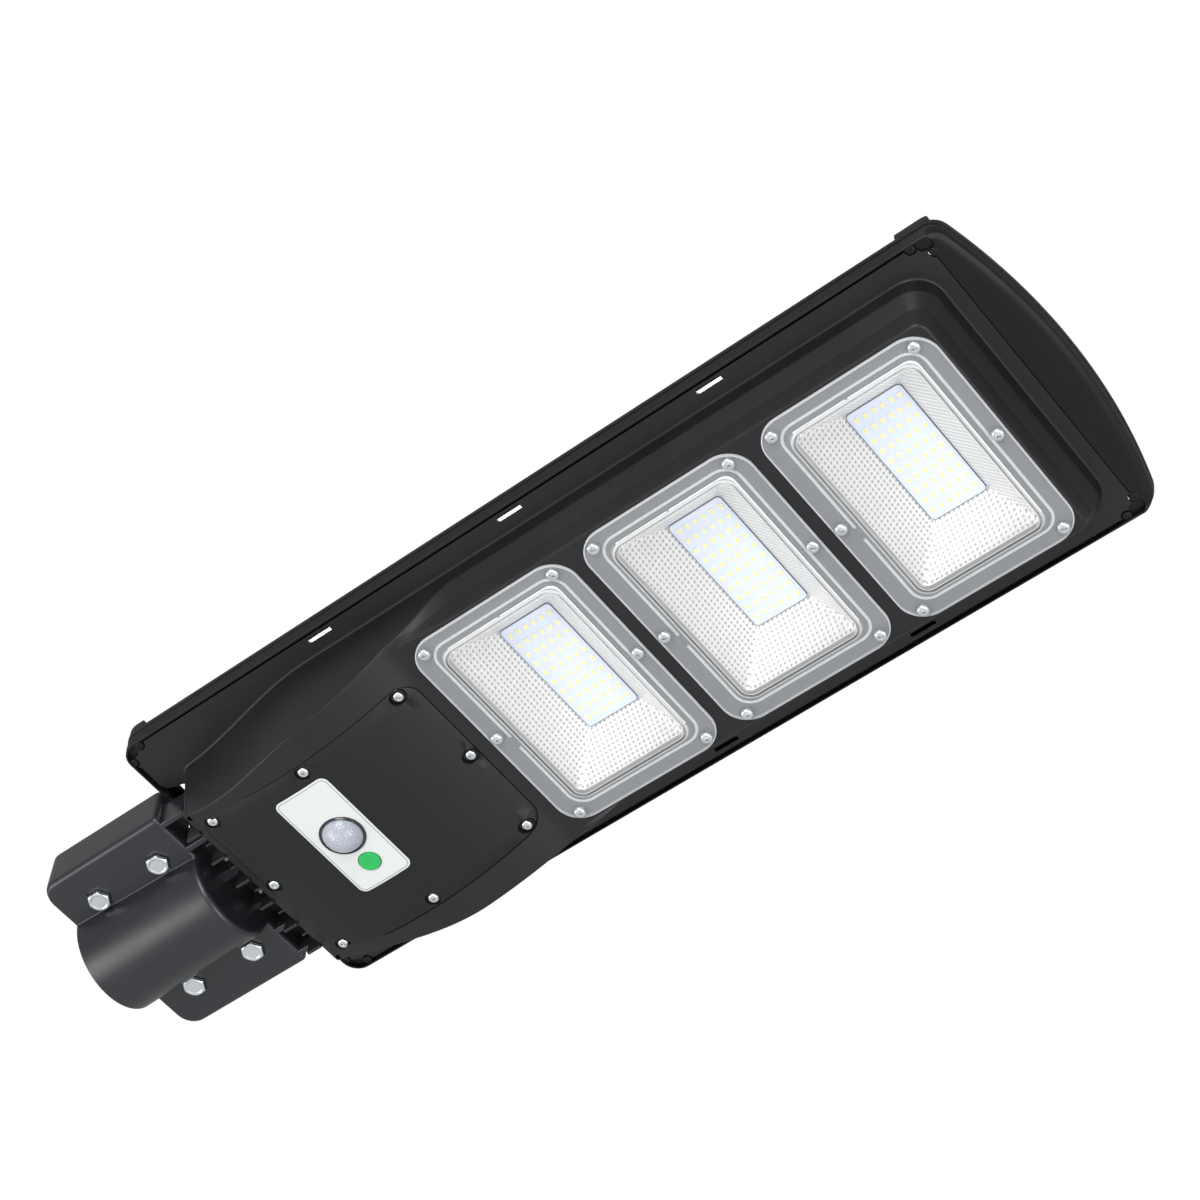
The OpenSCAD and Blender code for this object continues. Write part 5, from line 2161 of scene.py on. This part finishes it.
@dataclass
class Studio:
    """Camera, lights, floor and surroundings."""

    azimuth: float = 41.59
    elevation: float = -54.67
    roll: float = 4.14
    target: Point3 = (0.41753, -0.04181, -0.01296)
    distance: float = 1.7957
    lens: float = 95.25
    sky: float = 0.5
    from_below: float = 0.82
    floor_glow: float = 0.3

    def axes(self) -> tuple[Vector, Vector, Vector]:
        """The camera's right, up and back directions."""
        a, e, q = (math.radians(v) for v in (self.azimuth, self.elevation, self.roll))
        back = Vector((math.sin(a) * math.cos(e), -math.cos(a) * math.cos(e), math.sin(e)))
        right = Vector((math.cos(a), math.sin(a), 0.0))
        up = back.cross(right)
        return (
            right * math.cos(q) + up * math.sin(q),
            -right * math.sin(q) + up * math.cos(q),
            back,
        )

    def camera(self) -> None:
        """Puts the camera where the lamp is seen from below."""
        data = bpy.data.cameras.new("camera")
        data.lens = self.lens
        data.sensor_width = 36.0
        made = bpy.data.objects.new("camera", data)
        bpy.context.scene.collection.objects.link(made)
        right, up, back = self.axes()
        turn = Matrix((right, up, back)).transposed().to_4x4()
        made.matrix_world = Matrix.Translation(Vector(self.target) + back * self.distance) @ turn
        data.clip_end = 200
        bpy.context.scene.camera = made

    def softbox(
        self, name: str, side: Point3, size: float, power: float, glossy: bool = True
    ) -> None:
        """Adds a square light that faces the lamp.

        Args:
            name: The light's name.
            side: Its place by right, up and towards the camera, in metres from the lamp.
            size: Length of its edge in metres.
            power: Its power in watts.
            glossy: Whether it shows in glossy surfaces.
        """
        data = bpy.data.lights.new(name, "AREA")
        data.size = size
        data.energy = power
        made = bpy.data.objects.new(name, data)
        bpy.context.scene.collection.objects.link(made)
        right, up, back = self.axes()
        centre = Vector(self.target)
        place = centre + right * side[0] + up * side[1] + back * side[2]
        made.location = place
        made.rotation_mode = "QUATERNION"
        made.rotation_quaternion = (centre - place).to_track_quat("-Z", "Y")
        made.visible_camera = False
        made.visible_glossy = glossy

    def floor(self) -> None:
        """Adds the pale floor, well below the lamp and the camera."""
        shell = Shell()
        loop = rect_loop(400.0, 0.0, 60000.0, 60000.0, 600.0, corner=6, side=4)
        ring = shell.ring(s.at(0, -3300.0) for s in loop)
        shell.face(ring)
        bmesh.ops.scale(shell.bm, vec=(MM, MM, MM), verts=shell.bm.verts[:])
        mesh = bpy.data.meshes.new("studio_floor")
        shell.bm.to_mesh(mesh)
        shell.bm.free()
        made = bpy.data.objects.new("studio_floor", mesh)
        bpy.context.scene.collection.objects.link(made)
        pale = Finish("studio_paper", "#f3f3f2", "#efefee", 300, 5, 0.02, 0.8, 0.05)
        paper = pale.build()
        made.data.materials.append(paper)
        # bright for the eye alone: the lamp is lit by the surroundings instead
        shader = paper.node_tree.nodes["Principled BSDF"]
        shader.inputs["Emission Color"].default_value = (1, 1, 1, 1)
        shader.inputs["Emission Strength"].default_value = self.floor_glow
        made.visible_diffuse = False
        made.visible_glossy = False
        made.visible_transmission = False
        made.visible_shadow = False

    def surroundings(self) -> None:
        """White background for the eye, dimmer light for the surfaces."""
        world = bpy.data.worlds.new("studio")
        world.use_nodes = True
        bpy.context.scene.world = world
        tree = world.node_tree
        tree.nodes.clear()
        path = add_node(tree, "ShaderNodeLightPath")
        seen = add_node(tree, "ShaderNodeBackground", {"Color": (1, 1, 1, 1), "Strength": 1.0})
        way = add_node(tree, "ShaderNodeTexCoord")
        split = add_node(tree, "ShaderNodeSeparateXYZ", {0: way.outputs["Generated"]})
        # a little stronger from straight below, as over a pale floor
        rise = add_node(
            tree,
            "ShaderNodeMapRange",
            {0: split.outputs[2], 1: -1.0, 2: -0.2, 3: self.from_below, 4: self.sky},
        )
        lit = add_node(
            tree,
            "ShaderNodeBackground",
            {"Color": (0.96, 0.98, 1, 1), "Strength": rise.outputs[0]},
        )
        both = add_node(
            tree,
            "ShaderNodeMixShader",
            {0: path.outputs["Is Camera Ray"], 1: lit.outputs[0], 2: seen.outputs[0]},
        )
        add_node(tree, "ShaderNodeOutputWorld", {0: both.outputs[0]})

    def build(self) -> None:
        """Makes the studio."""
        self.camera()
        self.floor()
        self.surroundings()
        self.softbox("key", (-0.9, 1.2, 2.3), 1.5, 52)
        self.softbox("fill", (1.3, -0.7, 2.3), 1.5, 32)
        self.softbox("low", (-1.6, -0.9, 0.6), 0.9, 12)
        self.softbox("over", (0.3, 0.2, -1.8), 1.6, 22, glossy=False)
        bpy.context.scene.view_settings.view_transform = "Standard"


# ---------------------------------------------------------------- main


def screws(housing: LampHousing) -> None:
    """Places every pan-head screw.

    Args:
        housing: The housing, for the heights of the seats.
    """
    PanScrew(3.4, 2.2, 1.3, 7).place(
        "lid_screws",
        [(x, y, housing.under(x) + 1.8) for x, y in SCREW_SPOTS_LID],
        "zinc_steel",
        ["battery_cover_screws"],
    )
    offsets = [(x, y) for y in (-72.0, 72.0) for x in (-47.2, 47.2)]
    offsets += [(-52.2, 0.0), (52.2, 0.0)]
    PanScrew(3.8, 2.4, 1.6, 9).place(
        "cover_screws",
        [(x + dx, dy, -13.0) for x in housing.modules for dx, dy in offsets],
        "zinc_steel",
        ["led_cover_screws"],
    )
    PanScrew(2.8, 1.6, 1.25, 4).place(
        "board_screws",
        [(x + i * 21, j * 47, 17.1) for x in housing.modules for i in (-1, 1) for j in (-1, 1)],
        "zinc_steel",
        ["led_board_screws"],
    )
    PanScrew(4.6, 3.0, 2.48, 20).place(
        "neck_screws",
        [(125.0, y, 5.5) for y in (-48, -16, 16, 48)],
        "zinc_steel",
        ["bracket_screws"],
        Matrix.Rotation(math.radians(-90), 4, "Y"),
    )


def main() -> None:
    """Builds the lamp and its studio."""
    Studio().build()
    housing = LampHousing()
    housing.build()
    TopFrame().build()
    BatteryLid(housing).build()
    for number, x in enumerate(housing.modules, 1):
        LampModule(number, x).build()
    screws(housing)
    HexFasteners().build()
    PoleBracket().build()
    softened("clamp_cap", CAST, "cast_black", 0.8, Body.CLAMP, 3)
    softened("corner_pads", RUBBER, "pad_rubber", 2.4, segments=4)
    InnerParts().build()


if __name__ == "__main__":
    main()
